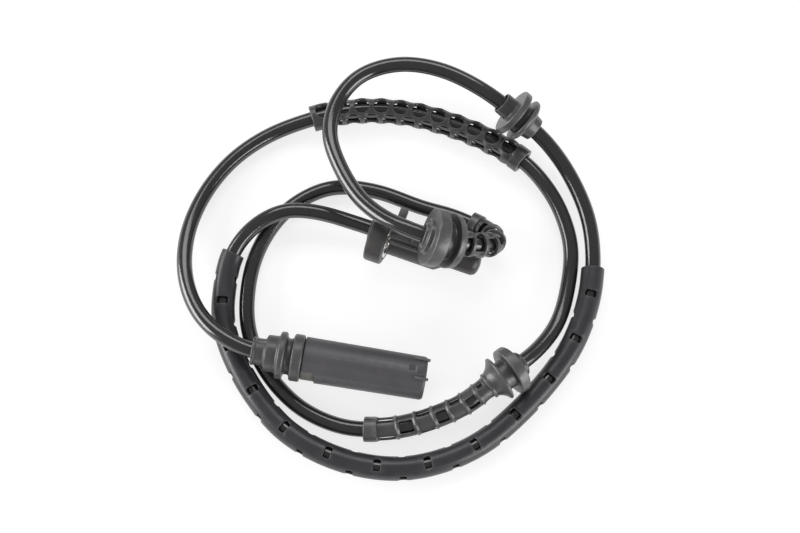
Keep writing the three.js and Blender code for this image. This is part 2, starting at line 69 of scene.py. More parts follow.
# Chosen points of the cable's centre line in metres, from the head to the connector.
ROUTE = [
    # Out of the head and over the inner coil.
    (-0.0150, 0.00191, 0.00700),
    (-0.0270, 0.00171, 0.00710),
    (-0.0400, 0.00041, 0.00890),
    (-0.0515, -0.00339, 0.00950),
    (-0.0596, -0.01189, 0.00830),
    # Long sleeve on the table.
    (-0.0638, -0.02309, 0.00500),
    (-0.0620, -0.03509, 0.00420),
    (-0.0575, -0.04759, 0.00420),
    (-0.0485, -0.05859, 0.00420),
    (-0.0370, -0.06809, 0.00420),
    (-0.0235, -0.07559, 0.00420),
    (-0.0090, -0.07859, 0.00420),
    (0.0060, -0.07809, 0.00420),
    (0.0200, -0.07409, 0.00420),
    (0.0325, -0.06609, 0.00420),
    (0.0425, -0.05559, 0.00420),
    (0.0500, -0.04259, 0.00420),
    (0.0560, -0.02859, 0.00420),
    (0.0598, -0.01509, 0.00420),
    (0.0608, -0.00059, 0.00420),
    (0.0585, 0.01541, 0.00430),
    # Up to the plain grommet.
    (0.0515, 0.03231, 0.00480),
    (0.0399, 0.04581, 0.00640),
    (0.0287, 0.05331, 0.00980),
    (0.0208, 0.05611, 0.01300),
    (0.0102, 0.05851, 0.01780),
    # Low hump over the guard.
    (-0.0016, 0.06091, 0.02080),
    (-0.0164, 0.06211, 0.02200),
    (-0.0310, 0.05901, 0.02200),
    (-0.0426, 0.05031, 0.02100),
    (-0.0468, 0.03811, 0.02040),
    (-0.0449, 0.02591, 0.02080),
    (-0.0366, 0.01451, 0.02280),
    (-0.0250, 0.00451, 0.02560),
    (-0.0140, -0.00039, 0.02880),
    (-0.0054, -0.00189, 0.03100),
    # Grommet over the head, then the curled relief down to the table.
    (0.0011, -0.00189, 0.03010),
    (0.0084, 0.00031, 0.02620),
    (0.0153, 0.00301, 0.02180),
    (0.0207, 0.00601, 0.01750),
    (0.0229, 0.00971, 0.01300),
    (0.0211, 0.01341, 0.00860),
    (0.0167, 0.01571, 0.00550),
    (0.0107, 0.01671, 0.00460),
    (0.0046, 0.01711, 0.00450),
    # Inner coil on the table.
    (-0.0062, 0.01691, 0.00300),
    (-0.0250, 0.01711, 0.00295),
    (-0.0410, 0.01241, 0.00295),
    (-0.0524, -0.00109, 0.00295),
    (-0.0562, -0.01759, 0.00295),
    (-0.0542, -0.03309, 0.00295),
    (-0.0480, -0.04759, 0.00295),
    (-0.0365, -0.05909, 0.00295),
    (-0.0215, -0.06659, 0.00295),
    (-0.0070, -0.06809, 0.00340),
    # Ladder relief and its grommet, which leans on the long sleeve.
    (0.0023, -0.06639, 0.00450),
    (0.0135, -0.06159, 0.00490),
    (0.0240, -0.05439, 0.00680),
    (0.0326, -0.04629, 0.00920),
    (0.0374, -0.03899, 0.01110),
    (0.0436, -0.03029, 0.01130),
    # Inner right side.
    (0.0491, -0.02039, 0.00770),
    (0.0528, -0.00759, 0.00400),
    (0.0522, 0.00641, 0.00295),
    (0.0485, 0.02141, 0.00295),
    (0.0395, 0.03441, 0.00330),
    (0.0295, 0.04221, 0.00450),
    # Scalloped guard.
    (0.0222, 0.04591, 0.00480),
    (0.0090, 0.04931, 0.00480),
    (-0.0060, 0.05061, 0.00480),
    (-0.0210, 0.04991, 0.00480),
    (-0.0355, 0.04651, 0.00480),
    (-0.0475, 0.04121, 0.00480),
    (-0.0563, 0.03521, 0.00480),
    # Outer left side and over the long sleeve to the connector.
    (-0.0690, 0.02441, 0.00340),
    (-0.0780, 0.01091, 0.00295),
    (-0.0825, -0.00489, 0.00310),
    (-0.0820, -0.02159, 0.00460),
    (-0.0760, -0.03699, 0.00760),
    (-0.0655, -0.04869, 0.01100),
    (-0.0545, -0.05409, 0.01290),
    (-0.0429, -0.05559, 0.01320),
    (-0.0326, -0.05349, 0.01240),
]


class Slot(str, Enum):
    """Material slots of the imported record."""

    JACKET = "jacket"
    RUBBER = "rubber"
    SLEEVE = "sleeve"
    NYLON = "nylon"
    STEEL = "steel"
    BRASS = "brass"
    RESIN = "resin"
    CHIP = "chip"
    MAGNET = "magnet"
    TIN = "tin"
    SEAL = "seal"
    CORE_LIGHT = "core_light"
    CORE_BROWN = "core_brown"


class Station(float, Enum):
    """Places on the route, counted in route points, where pieces begin and end."""

    SLEEVE_START = 5.0
    SLEEVE_END = 20.0
    PLAIN_GROMMET = 24.5
    CURL_START = 35.82
    LADDER_START = 55.0
    GUARD_START = 67.0
    GUARD_END = 73.0


class Cut(str, Enum):
    """How one body works on another."""

    JOIN = "UNION"
    REMOVE = "DIFFERENCE"


# Finishes


NodeInput = bpy.types.NodeSocket | float | tuple[float, ...]


def fill(tree: bpy.types.NodeTree, node: bpy.types.Node, inputs: Mapping[str | int, NodeInput]) -> None:
    """Sets the inputs of a node.

    Args:
        tree: Node tree that holds the node.
        node: The node.
        inputs: For each input, the socket that is linked to it or its plain value.
    """
    for name, value in inputs.items():
        if isinstance(value, bpy.types.NodeSocket):
            tree.links.new(value, node.inputs[name])
        else:
            node.inputs[name].default_value = value


def add_node(
    tree: bpy.types.NodeTree, kind: str, inputs: Mapping[str | int, NodeInput], **settings: str
) -> bpy.types.Node:
    """Adds a node to a tree.

    Args:
        tree: Node tree to add to.
        kind: Type of the node, without the words that all shader nodes share.
        inputs: For each input, the socket that is linked to it or its plain value.
        settings: Properties of the node itself.

    Returns:
        The new node.
    """
    node = tree.nodes.new("ShaderNode" + kind)
    for name, value in settings.items():
        setattr(node, name, value)
    fill(tree, node, inputs)
    return node


@dataclass(frozen=True)
class Finish:
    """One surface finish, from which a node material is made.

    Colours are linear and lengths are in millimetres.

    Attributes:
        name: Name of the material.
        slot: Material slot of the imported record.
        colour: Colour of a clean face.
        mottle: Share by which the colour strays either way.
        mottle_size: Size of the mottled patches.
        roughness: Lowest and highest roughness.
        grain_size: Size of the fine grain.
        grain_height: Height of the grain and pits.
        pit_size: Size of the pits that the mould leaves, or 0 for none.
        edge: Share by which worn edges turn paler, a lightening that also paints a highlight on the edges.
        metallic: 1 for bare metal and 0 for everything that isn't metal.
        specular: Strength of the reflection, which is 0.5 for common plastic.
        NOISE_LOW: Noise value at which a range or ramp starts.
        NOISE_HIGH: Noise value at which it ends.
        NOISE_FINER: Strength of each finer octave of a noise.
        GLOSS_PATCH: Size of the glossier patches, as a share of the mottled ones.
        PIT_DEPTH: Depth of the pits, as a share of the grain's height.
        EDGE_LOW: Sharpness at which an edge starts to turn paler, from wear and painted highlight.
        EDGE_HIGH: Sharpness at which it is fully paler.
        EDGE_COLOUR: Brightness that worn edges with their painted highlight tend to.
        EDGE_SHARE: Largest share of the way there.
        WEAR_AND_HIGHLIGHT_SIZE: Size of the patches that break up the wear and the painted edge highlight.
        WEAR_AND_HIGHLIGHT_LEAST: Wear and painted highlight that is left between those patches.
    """

    name: str
    slot: Slot
    colour: tuple[float, float, float]
    mottle: float = 0.18
    mottle_size: float = 9.0
    roughness: tuple[float, float] = (0.4, 0.55)
    grain_size: float = 0.35
    grain_height: float = 0.02
    pit_size: float = 0.0
    edge: float = 0.5
    metallic: float = 0.0
    specular: float = 0.5

    NOISE_LOW = 0.3
    NOISE_HIGH = 0.7
    NOISE_FINER = 0.55
    GLOSS_PATCH = 0.4
    PIT_DEPTH = 0.8
    EDGE_LOW = 0.51
    EDGE_HIGH = 0.6
    EDGE_COLOUR = 0.4
    EDGE_SHARE = 0.55
    WEAR_AND_HIGHLIGHT_SIZE = 1.6
    WEAR_AND_HIGHLIGHT_LEAST = 0.35

    def material(self) -> bpy.types.Material:
        """Finds or makes the node material of this finish.

        Returns:
            The material, shared by every piece that has this finish.
        """
        made = bpy.data.materials.get(self.name)
        return made or self._build()

    def _build(self) -> bpy.types.Material:
        """Builds the nodes: mottled colour, uneven gloss, grain, pits, and worn edges that also carry a
        painted highlight.

        Returns:
            The new material.
        """
        material = bpy.data.materials.new(self.name)
        material.use_nodes = True
        tree = material.node_tree
        place = add_node(tree, "TexCoord", {}).outputs["Object"]

        mottle = self._noise(tree, place, self.mottle_size, 4.0)
        tint = self._ramp(tree, mottle, self._shade(1 - self.mottle), self._shade(1 + self.mottle))
        # Paler convex edges: partly wear, partly a painted highlight along the edges.
        colours = {"Factor": self._wear_and_highlight_edges(tree, place), "A": tint, "B": (*self._lifted(), 1)}
        worn_and_lit = add_node(tree, "Mix", colours, data_type="RGBA")

        gloss = self._noise(tree, place, self.mottle_size * self.GLOSS_PATCH, 3.0)

        height = self._noise(tree, place, self.grain_size, 2.0)
        if self.pit_size:
            height = self._pitted(tree, place, height)
        relief = {"Strength": 1.0, "Distance": self.grain_height * MM, "Height": height}
        bump = add_node(tree, "Bump", relief)

        surface = {
            "Metallic": self.metallic,
            "Specular IOR Level": self.specular,
            "Base Color": worn_and_lit.outputs["Result"],
            "Roughness": self._range(tree, gloss, *self.roughness),
            "Normal": bump.outputs["Normal"],
        }
        fill(tree, tree.nodes["Principled BSDF"], surface)
        return material

    def _shade(self, factor: float) -> tuple[float, float, float, float]:
        """The colour times a factor, with alpha."""
        return (*(min(1.0, c * factor) for c in self.colour), 1.0)

    def _lifted(self) -> tuple[float, float, float]:
        """The paler colour of rubbed edges, which also paints a highlight on them, or the plain one on
        metal.
        """
        share = 0.0 if self.metallic else self.edge * self.EDGE_SHARE
        return tuple(c + (self.EDGE_COLOUR - c) * share for c in self.colour)

    def _noise(
        self, tree: bpy.types.NodeTree, place: bpy.types.NodeSocket, size: float, detail: float
    ) -> bpy.types.NodeSocket:
        """Adds a noise with features of one size.

        Args:
            tree: Node tree to add to.
            place: Socket with the coordinates.
            size: Size of the features in millimetres.
            detail: How many finer octaves are added.

        Returns:
            The socket with the noise value.
        """
        inputs = {
            "Vector": place,
            "Scale": 1 / (size * MM),
            "Detail": detail,
            "Roughness": self.NOISE_FINER,
        }
        return add_node(tree, "TexNoise", inputs).outputs["Fac"]

    def _ramp(
        self,
        tree: bpy.types.NodeTree,
        value: bpy.types.NodeSocket,
        low: tuple[float, float, float, float],
        high: tuple[float, float, float, float],
    ) -> bpy.types.NodeSocket:
        """Adds a colour ramp between two colours.

        Args:
            tree: Node tree to add to.
            value: Socket that drives the ramp.
            low: Colour at the low end.
            high: Colour at the high end.

        Returns:
            The socket with the colour.
        """
        ramp = add_node(tree, "ValToRGB", {"Fac": value})
        ends = zip(ramp.color_ramp.elements, (self.NOISE_LOW, self.NOISE_HIGH), (low, high))
        for element, position, colour in ends:
            element.position = position
            element.color = colour
        return ramp.outputs["Color"]

    def _range(
        self, tree: bpy.types.NodeTree, value: bpy.types.NodeSocket, low: float, high: float
    ) -> bpy.types.NodeSocket:
        """Maps a noise value to a range.

        Args:
            tree: Node tree to add to.
            value: Socket with the noise.
            low: Value at the low end.
            high: Value at the high end.

        Returns:
            The socket with the mapped value.
        """
        inputs = {
            "Value": value,
            "From Min": self.NOISE_LOW,
            "From Max": self.NOISE_HIGH,
            "To Min": low,
            "To Max": high,
        }
        return add_node(tree, "MapRange", inputs).outputs["Result"]

    def _wear_and_highlight_edges(self, tree: bpy.types.NodeTree, place: bpy.types.NodeSocket) -> bpy.types.NodeSocket:
        """Finds convex edges, broken up by noise, where handling has rubbed the surface and where a
        highlight is painted on.

        Args:
            tree: Node tree to add to.
            place: Socket with the coordinates.

        Returns:
            The socket with the wear and the painted edge highlight, from 0 to 1.
        """
        shape = add_node(tree, "NewGeometry", {}).outputs["Pointiness"]
        span = {"Value": shape, "From Min": self.EDGE_LOW, "From Max": self.EDGE_HIGH}
        sharp = add_node(tree, "MapRange", span).outputs["Result"]
        patches = self._range(tree, self._noise(tree, place, self.WEAR_AND_HIGHLIGHT_SIZE, 3.0), self.WEAR_AND_HIGHLIGHT_LEAST, 1.0)
        broken = add_node(tree, "Math", {0: sharp, 1: patches}, operation="MULTIPLY")
        return broken.outputs["Value"]

    def _pitted(
        self, tree: bpy.types.NodeTree, place: bpy.types.NodeSocket, height: bpy.types.NodeSocket
    ) -> bpy.types.NodeSocket:
        """Adds the small rounded pits of a spark-eroded mould to the grain.

        Args:
            tree: Node tree to add to.
            place: Socket with the coordinates.
            height: Socket with the grain.

        Returns:
            The socket with grain and pits together.
        """
        pattern = {"Vector": place, "Scale": 1 / (self.pit_size * MM)}
        cells = add_node(tree, "TexVoronoi", pattern, feature="SMOOTH_F1").outputs["Distance"]
        both = add_node(tree, "Math", {0: cells, 1: self.PIT_DEPTH, 2: height}, operation="MULTIPLY_ADD")
        return both.outputs["Value"]


# The edge share of each finish sets both its edge wear and its painted edge highlight.
CABLE_JACKET = Finish(
    "cable_jacket_black", Slot.JACKET, (0.018, 0.017, 0.018), mottle=0.12, mottle_size=14,
    roughness=(0.13, 0.19), grain_size=0.9, grain_height=0.02, edge=0.2, specular=1.0,
)
SLEEVE_BLACK = Finish(
    "sleeve_black", Slot.SLEEVE, (0.04, 0.039, 0.044), mottle=0.14, mottle_size=7,
    roughness=(0.28, 0.38), grain_size=0.5, grain_height=0.022, edge=0.6,
)
GUARD_RUBBER = Finish(
    "guard_rubber", Slot.RUBBER, (0.047, 0.046, 0.049), mottle=0.16, mottle_size=5,
    roughness=(0.28, 0.4), grain_size=0.3, grain_height=0.02, edge=0.9, specular=0.8,
)
GROMMET_RUBBER = Finish(
    "grommet_rubber", Slot.RUBBER, (0.056, 0.055, 0.054), mottle=0.18, mottle_size=6,
    roughness=(0.3, 0.42), grain_size=0.28, grain_height=0.025, pit_size=0.5, edge=1.0, specular=0.9,
)
BOOT_RUBBER = Finish(
    "boot_rubber", Slot.RUBBER, (0.068, 0.066, 0.067), mottle=0.15, mottle_size=5,
    roughness=(0.34, 0.46), grain_size=0.3, grain_height=0.02, pit_size=0.45, edge=0.8, specular=0.8,
)
SHELL_NYLON = Finish(
    "shell_nylon", Slot.NYLON, (0.082, 0.078, 0.085), mottle=0.1, mottle_size=8,
    roughness=(0.4, 0.5), grain_size=0.22, grain_height=0.016, pit_size=0.4, edge=0.5,
)
# Paler copy of the shell nylon for the side recess faces: painted light that makes them look lit.
RECESS_LIT_NYLON = Finish(
    "recess_nylon_painted_light", Slot.NYLON, (0.17, 0.162, 0.15), mottle=0.16, mottle_size=3,
    roughness=(0.45, 0.6), grain_size=0.22, grain_height=0.016, edge=0.4,
)
HEAD_NYLON = Finish(
    "head_nylon", Slot.NYLON, (0.048, 0.045, 0.044), mottle=0.16, mottle_size=6,
    roughness=(0.32, 0.44), grain_size=0.25, grain_height=0.018, pit_size=0.45, edge=0.7,
)
BUSH_STEEL = Finish(
    "bush_steel", Slot.STEEL, (0.72, 0.71, 0.69), mottle=0.08, mottle_size=2,
    roughness=(0.18, 0.34), grain_size=0.15, grain_height=0.008, metallic=1.0,
)
CONTACT_BRASS = Finish(
    "contact_brass", Slot.BRASS, (0.63, 0.44, 0.17), mottle=0.08, mottle_size=2,
    roughness=(0.18, 0.3), grain_size=0.12, grain_height=0.005, metallic=1.0,
)
TINNED_COPPER = Finish(
    "tinned_copper", Slot.TIN, (0.62, 0.63, 0.64), mottle=0.08, mottle_size=2,
    roughness=(0.22, 0.36), grain_size=0.12, grain_height=0.005, metallic=1.0,
)
DARK_RESIN = Finish(
    "dark_resin", Slot.RESIN, (0.022, 0.021, 0.023), mottle=0.2, mottle_size=3,
    roughness=(0.4, 0.55), grain_size=0.2, grain_height=0.015, edge=0.3,
)
CHIP_BLACK = Finish(
    "chip_black", Slot.CHIP, (0.012, 0.012, 0.013), mottle=0.15, mottle_size=1.2,
    roughness=(0.45, 0.6), grain_size=0.1, grain_height=0.006, edge=0.2,
)
MAGNET_GREY = Finish(
    "magnet_grey", Slot.MAGNET, (0.11, 0.11, 0.115), mottle=0.2, mottle_size=1.5,
    roughness=(0.35, 0.55), grain_size=0.12, grain_height=0.01, metallic=0.6,
)
SEAL_SILICONE = Finish(
    "seal_silicone", Slot.SEAL, (0.2, 0.07, 0.03), mottle=0.12, mottle_size=2,
    roughness=(0.45, 0.6), grain_size=0.2, grain_height=0.01, edge=0.2,
)
CORE_IVORY = Finish(
    "core_ivory", Slot.CORE_LIGHT, (0.75, 0.7, 0.6), mottle=0.05, mottle_size=2,
    roughness=(0.35, 0.45), grain_size=0.2, grain_height=0.005, edge=0.0,
)
CORE_BROWN = Finish(
    "core_brown", Slot.CORE_BROWN, (0.105, 0.042, 0.019), mottle=0.1, mottle_size=2,
    roughness=(0.35, 0.45), grain_size=0.2, grain_height=0.005, edge=0.0,
)


# Shape tools


Profile = Sequence[Sequence[float]]


@dataclass(frozen=True)
class Axes:
    """A place with three square directions, in millimetres."""

    origin: Vector
    along: Vector
    across: Vector
    up: Vector

    def point(self, x: float, y: float, z: float) -> Vector:
        """The point x along, y across and z up from the origin."""
        return self.origin + self.along * x + self.across * y + self.up * z

    def ahead(self, x: float) -> "Axes":
        """The same directions, moved along by x."""
        return Axes(self.point(x, 0, 0), self.along, self.across, self.up)

    def beside(self, y: float) -> "Axes":
        """The same directions, moved across by y."""
        return Axes(self.point(0, y, 0), self.along, self.across, self.up)

    def rolled(self, angle: float) -> "Axes":
        """The axes turned about their own long direction.

        Args:
            angle: Turn in radians.

        Returns:
            The turned axes.
        """
        c, s = math.cos(angle), math.sin(angle)
        across = self.across * c + self.up * s
        return Axes(self.origin, self.along, across, self.up * c - self.across * s)


Place = Callable[[float], Axes]


class Route:
    """Smooth centre line of the cable through the chosen points, in millimetres.

    Attributes:
        STEP: Distance between samples.
        PASSES: How often the samples are smoothed.
        HALF_SPAN: Distance either way over which the line's direction is taken.
    """

    STEP = 1.6
    PASSES = 7
    HALF_SPAN = 1.5

    def __init__(self, points: Sequence[tuple[float, float, float]]) -> None:
        """Samples the line.

        Args:
            points: Chosen points in metres.
        """
        knots = [Vector(p) / MM for p in points]
        self.points, self._marks = self._sampled(knots)
        for _ in range(self.PASSES):
            self.points = self._relaxed(self.points)
        self.lengths = [0.0]
        for a, b in zip(self.points, self.points[1:]):
            self.lengths.append(self.lengths[-1] + (b - a).length)
        self.total = self.lengths[-1]

    @classmethod
    def _sampled(cls, knots: list[Vector]) -> tuple[list[Vector], list[int]]:
        """Runs a centripetal spline through the knots.

        Args:
            knots: Chosen points in millimetres.

        Returns:
            The samples, and the sample number of each knot.
        """
        padded = [2 * knots[0] - knots[1], *knots, 2 * knots[-1] - knots[-2]]
        samples: list[Vector] = []
        marks: list[int] = []
        for i in range(len(knots) - 1):
            p0, p1, p2, p3 = padded[i : i + 4]
            d0, d1, d2 = (math.sqrt((b - a).length) for a, b in ((p0, p1), (p1, p2), (p2, p3)))
            m1 = ((p1 - p0) / d0 - (p2 - p0) / (d0 + d1) + (p2 - p1) / d1) * d1
            m2 = ((p2 - p1) / d1 - (p3 - p1) / (d1 + d2) + (p3 - p2) / d2) * d1
            steps = max(2, round((p2 - p1).length / cls.STEP))
            marks.append(len(samples))
            for k in range(steps):
                t = k / steps
                a = 2 * p1 - 2 * p2 + m1 + m2
                b = 3 * p2 - 3 * p1 - 2 * m1 - m2
                samples.append(((a * t + b) * t + m1) * t + p1)
        marks.append(len(samples))
        samples.append(knots[-1])
        return samples, marks

    @staticmethod
    def _relaxed(points: list[Vector]) -> list[Vector]:
        """One smoothing pass that keeps both ends.

        Args:
            points: The samples.

        Returns:
            The smoothed samples.
        """
        inner = [(a + 2 * b + c) / 4 for a, b, c in zip(points, points[1:], points[2:])]
        return [points[0], *inner, points[-1]]

    def at(self, station: float) -> float:
        """Length along the line at a station.

        Args:
            station: Place counted in route points.

        Returns:
            The length in millimetres.
        """
        i = min(int(station), len(self._marks) - 2)
        low, high = (self.lengths[self._marks[k]] for k in (i, i + 1))
        return low + (high - low) * (station - i)

    def point(self, length: float) -> Vector:
        """Finds the point at a length along the line.

        Args:
            length: Length in millimetres, which is kept within the line.

        Returns:
            The point in millimetres.
        """
        length = min(max(length, 0.0), self.total)
        i = min(bisect.bisect_right(self.lengths, length) - 1, len(self.points) - 2)
        share = (length - self.lengths[i]) / (self.lengths[i + 1] - self.lengths[i])
        return self.points[i].lerp(self.points[i + 1], share)

    def axes(self, length: float, reference: Vector = Vector((0, 0, 1)), roll: float = 0.0) -> Axes:
        """Axes on the line.

        Args:
            length: Length along the line.
            reference: Direction that the up axis stays nearest to.
            roll: Further turn about the line, in radians.

        Returns:
            The axes, with the long direction along the line.
        """
        low, high = max(length - self.HALF_SPAN, 0.0), min(length + self.HALF_SPAN, self.total)
        along = (self.point(high) - self.point(low)).normalized()
        across = reference.cross(along).normalized()
        return Axes(self.point(length), along, across, along.cross(across)).rolled(roll)


def stand(name: str, data: bpy.types.ID) -> bpy.types.Object:
    """Adds an object to the scene.

    Args:
        name: Name of the object.
        data: What it shows, such as a mesh, a curve or a light.

    Returns:
        The new object.
    """
    made = bpy.data.objects.new(name, data)
    bpy.context.scene.collection.objects.link(made)
    return made


def shade(mesh: bpy.types.Mesh, crease: float) -> None:
    """Shades a mesh smooth, except across edges sharper than the crease in degrees."""
    mesh.shade_smooth()
    mesh.set_sharp_from_angle(angle=math.radians(crease))


def rounded(profile: Profile, radius: float, steps: int = 3, closed: bool = True) -> Profile:
    """Turns the corners of a profile into small arcs.

    Args:
        profile: Points with length along the axis and radius.
        radius: Distance from each corner at which its arc starts.
        steps: Pieces of each arc.
        closed: Whether the last point joins the first.

    Returns:
        The profile with round corners.
    """
    points = [Vector(p) for p in profile]
    count = len(points)
    out: list[Vector] = []
    for i, corner in enumerate(points):
        if not closed and i in (0, count - 1):
            out.append(corner)
            continue
        before, after = points[i - 1] - corner, points[(i + 1) % count] - corner
        if min(before.length, after.length) < 1e-6 or before.angle(after) > math.radians(165):
            out.append(corner)
            continue
        reach = min(radius, 0.45 * before.length, 0.45 * after.length)
        start, end = corner + before.normalized() * reach, corner + after.normalized() * reach
        for k in range(steps + 1):
            t = k / steps
            out.append(start.lerp(corner, t).lerp(corner.lerp(end, t), t))
    return out


class Draft:
    """Points and faces of one piece while it is built.

    Attributes:
        CREASE: Largest angle between faces that is shaded smooth, in degrees.
        SECTOR_STEPS: Pieces of a part of a ring.
    """

    CREASE = 42.0
    SECTOR_STEPS = 40

    def __init__(self) -> None:
        """Starts an empty draft."""
        self.points: list[Vector] = []
        self.faces: list[tuple[int, ...]] = []
        self.patches: list[int] = []

    def add(self, point: Vector) -> int:
        """Adds a point and gives its number."""
        self.points.append(point)
        return len(self.points) - 1

    def face(self, corners: Sequence[int], patch: int = 0) -> None:
        """Adds a face, leaving out repeated corners.

        Args:
            corners: Point numbers of its corners in order.
            patch: Material patch of the face.
        """
        kept = [c for i, c in enumerate(corners) if c != corners[i - 1]]
        if len(kept) > 2:
            self.faces.append(tuple(kept))
            self.patches.append(patch)

    def bridge(self, one: Sequence[int], other: Sequence[int], patch: int = 0) -> None:
        """Joins two closed rings of points by quads, either of which may be a single point.

        Args:
            one: Point numbers of the first ring.
            other: Point numbers of the second ring.
            patch: Material patch of the new faces.
        """
        count = max(len(one), len(other))
        for i in range(count):
            j = (i + 1) % count
            a, b = one[i % len(one)], one[j % len(one)]
            c, d = other[j % len(other)], other[i % len(other)]
            self.face((a, b, c, d), patch)

    def revolve(self, profile: Profile, place: Place, sides: int, closed: bool = True) -> None:
        """Turns a profile about a straight or bent axis.

        Args:
            profile: Points with length along the axis and radius.
            place: Gives the axes at each length.
            sides: Points round the axis.
            closed: Whether the last point joins the first.
        """
        turns = [2 * math.pi * k / sides for k in range(sides)]
        rings: list[list[int]] = []
        for along, radius in profile:
            axes = place(along)
            if radius < 1e-6:
                rings.append([self.add(axes.origin)])
                continue
            circle = [axes.point(0, radius * math.cos(t), radius * math.sin(t)) for t in turns]
            rings.append([self.add(point) for point in circle])
        pairs = list(zip(rings, rings[1:]))
        if closed:
            pairs.append((rings[-1], rings[0]))
        for one, other in pairs:
            if len(one) > 1 or len(other) > 1:
                self.bridge(one, other)

    def sector(
        self,
        axes: Axes,
        span: tuple[float, float],
        radii: tuple[float, float],
        turns: tuple[float, float],
        patch: int = 0,
    ) -> None:
        """Adds a part of a ring.

        Args:
            axes: Axes that the ring goes round.
            span: Where it starts and ends along them.
            radii: Its inner and outer radius.
            turns: Its first and last angle in degrees, from the across direction towards up.
            patch: Material patch of the new faces.
        """
        loops = []
        for k in range(self.SECTOR_STEPS + 1):
            t = math.radians(turns[0] + (turns[1] - turns[0]) * k / self.SECTOR_STEPS)
            c, s = math.cos(t), math.sin(t)
            corners = ((span[0], radii[0]), (span[1], radii[0]), (span[1], radii[1]), (span[0], radii[1]))
            loops.append([self.add(axes.point(x, r * c, r * s)) for x, r in corners])
        for one, other in zip(loops, loops[1:]):
            self.bridge(one, other, patch)
        self.face(loops[0], patch)
        self.face(loops[-1][::-1], patch)

    def make(self, name: str, finishes: Sequence[Finish]) -> bpy.types.Object:
        """Makes the Blender object.

        Args:
            name: Name of the piece.
            finishes: Finishes in the order of the patches.

        Returns:
            The object, in the row frame.
        """
        mesh = bpy.data.meshes.new(name)
        mesh.from_pydata([p * MM for p in self.points], [], self.faces)
        for finish in finishes:
            mesh.materials.append(finish.material())
        mesh.polygons.foreach_set("material_index", self.patches)
        work = bmesh.new()
        work.from_mesh(mesh)
        bmesh.ops.recalc_face_normals(work, faces=work.faces[:])
        work.to_mesh(mesh)
        work.free()
        shade(mesh, self.CREASE)
        return stand(name, mesh)


@dataclass(frozen=True)
class Block:
    """A chamfered block that is joined to a piece or cut out of it.

    Attributes:
        name: Its name while it exists.
        cut: How it works on the piece.
        low: Its lowest corner in the axes of the piece.
        high: Its highest corner.
        bevel: Chamfer of its edges and corners.
    """

    name: str
    cut: Cut
    low: tuple[float, float, float]
    high: tuple[float, float, float]
    bevel: float

    def body(self, axes: Axes, finish: Finish) -> tuple[Cut, bpy.types.Object]:
        """Makes the block.

        Args:
            axes: Axes of the piece.
            finish: Finish of the piece.

        Returns:
            How the block works on the piece, and its object.
        """
        work = bmesh.new()
        bmesh.ops.create_cube(work, size=1.0)
        size = [h - l for l, h in zip(self.low, self.high)]
        middle = [(h + l) / 2 for l, h in zip(self.low, self.high)]
        for v in work.verts:
            v.co = Vector([c * s + m for c, s, m in zip(v.co, size, middle)])
        bmesh.ops.bevel(
            work, geom=work.edges[:], offset=self.bevel, segments=2, profile=0.6, affect="EDGES"
        )
        draft = Draft()
        numbers = {v: draft.add(axes.point(*v.co)) for v in work.verts}
        for f in work.faces:
            draft.face([numbers[v] for v in f.verts])
        work.free()
        return self.cut, draft.make(self.name, [finish])


def turned(
    name: str,
    finishes: Sequence[Finish],
    profile: Profile,
    place: Place,
    sides: int,
    closed: bool = True,
) -> bpy.types.Object:
    """Makes an object that is turned from one profile.

    Args:
        name: Name of the piece.
        finishes: Its finishes, of which the first covers the turned faces.
        profile: Points with length along the axis and radius.
        place: Gives the axes at each length.
        sides: Points round the axis.
        closed: Whether the last point of the profile joins the first.

    Returns:
        The object.
    """
    draft = Draft()
    draft.revolve(profile, place, sides, closed)
    return draft.make(name, finishes)


def combine(
    piece: bpy.types.Object, others: Iterable[tuple[Cut, bpy.types.Object]], crease: float = 32.0
) -> None:
    """Joins bodies to a piece, or cuts them out of it, and deletes them.

    Args:
        piece: The piece that is kept.
        others: Each other body, with how it works on the piece.
        crease: Largest angle between faces that is shaded smooth, in degrees.
    """
    spent = []
    for cut, other in others:
        step = piece.modifiers.new(other.name, "BOOLEAN")
        step.operation = cut.value
        step.solver = "EXACT"
        step.object = other
        spent.append(other)
    bpy.context.view_layer.update()
    graph = bpy.context.evaluated_depsgraph_get()
    mesh = bpy.data.meshes.new_from_object(piece.evaluated_get(graph))
    piece.modifiers.clear()
    old, piece.data = piece.data, mesh
    bpy.data.meshes.remove(old)
    for other in spent:
        bpy.data.meshes.remove(other.data)
    shade(mesh, crease)


@dataclass(frozen=True)
class Window:
    """An opening in a tube wall.

    Attributes:
        centre: Length along the tube at its middle.
        turn: Angle at its middle, in sectors.
        half_length: Half its length.
        half_angle: Half the angle that it spans, in degrees.
        margin: Half the length of wall that is rebuilt round it.
        squareness: 2 is an ellipse, and more is squarer.
        spread: Sectors of wall that are rebuilt on either side of its middle.
    """

    centre: float
    turn: int
    half_length: float
    half_angle: float
    margin: float
    squareness: float
    spread: int = 6

    def outline(self, along: float, turn: float) -> float:
        """Measures how far out a place lies, seen from the window's middle.

        Args:
            along: Length from the middle.
            turn: Angle from the middle, in radians.

        Returns:
            1 on the window's outline, less inside it and more outside.
        """
        power = self.squareness
        share = abs(along / self.half_length) ** power
        share += abs(turn / math.radians(self.half_angle)) ** power
        return share ** (1 / power)


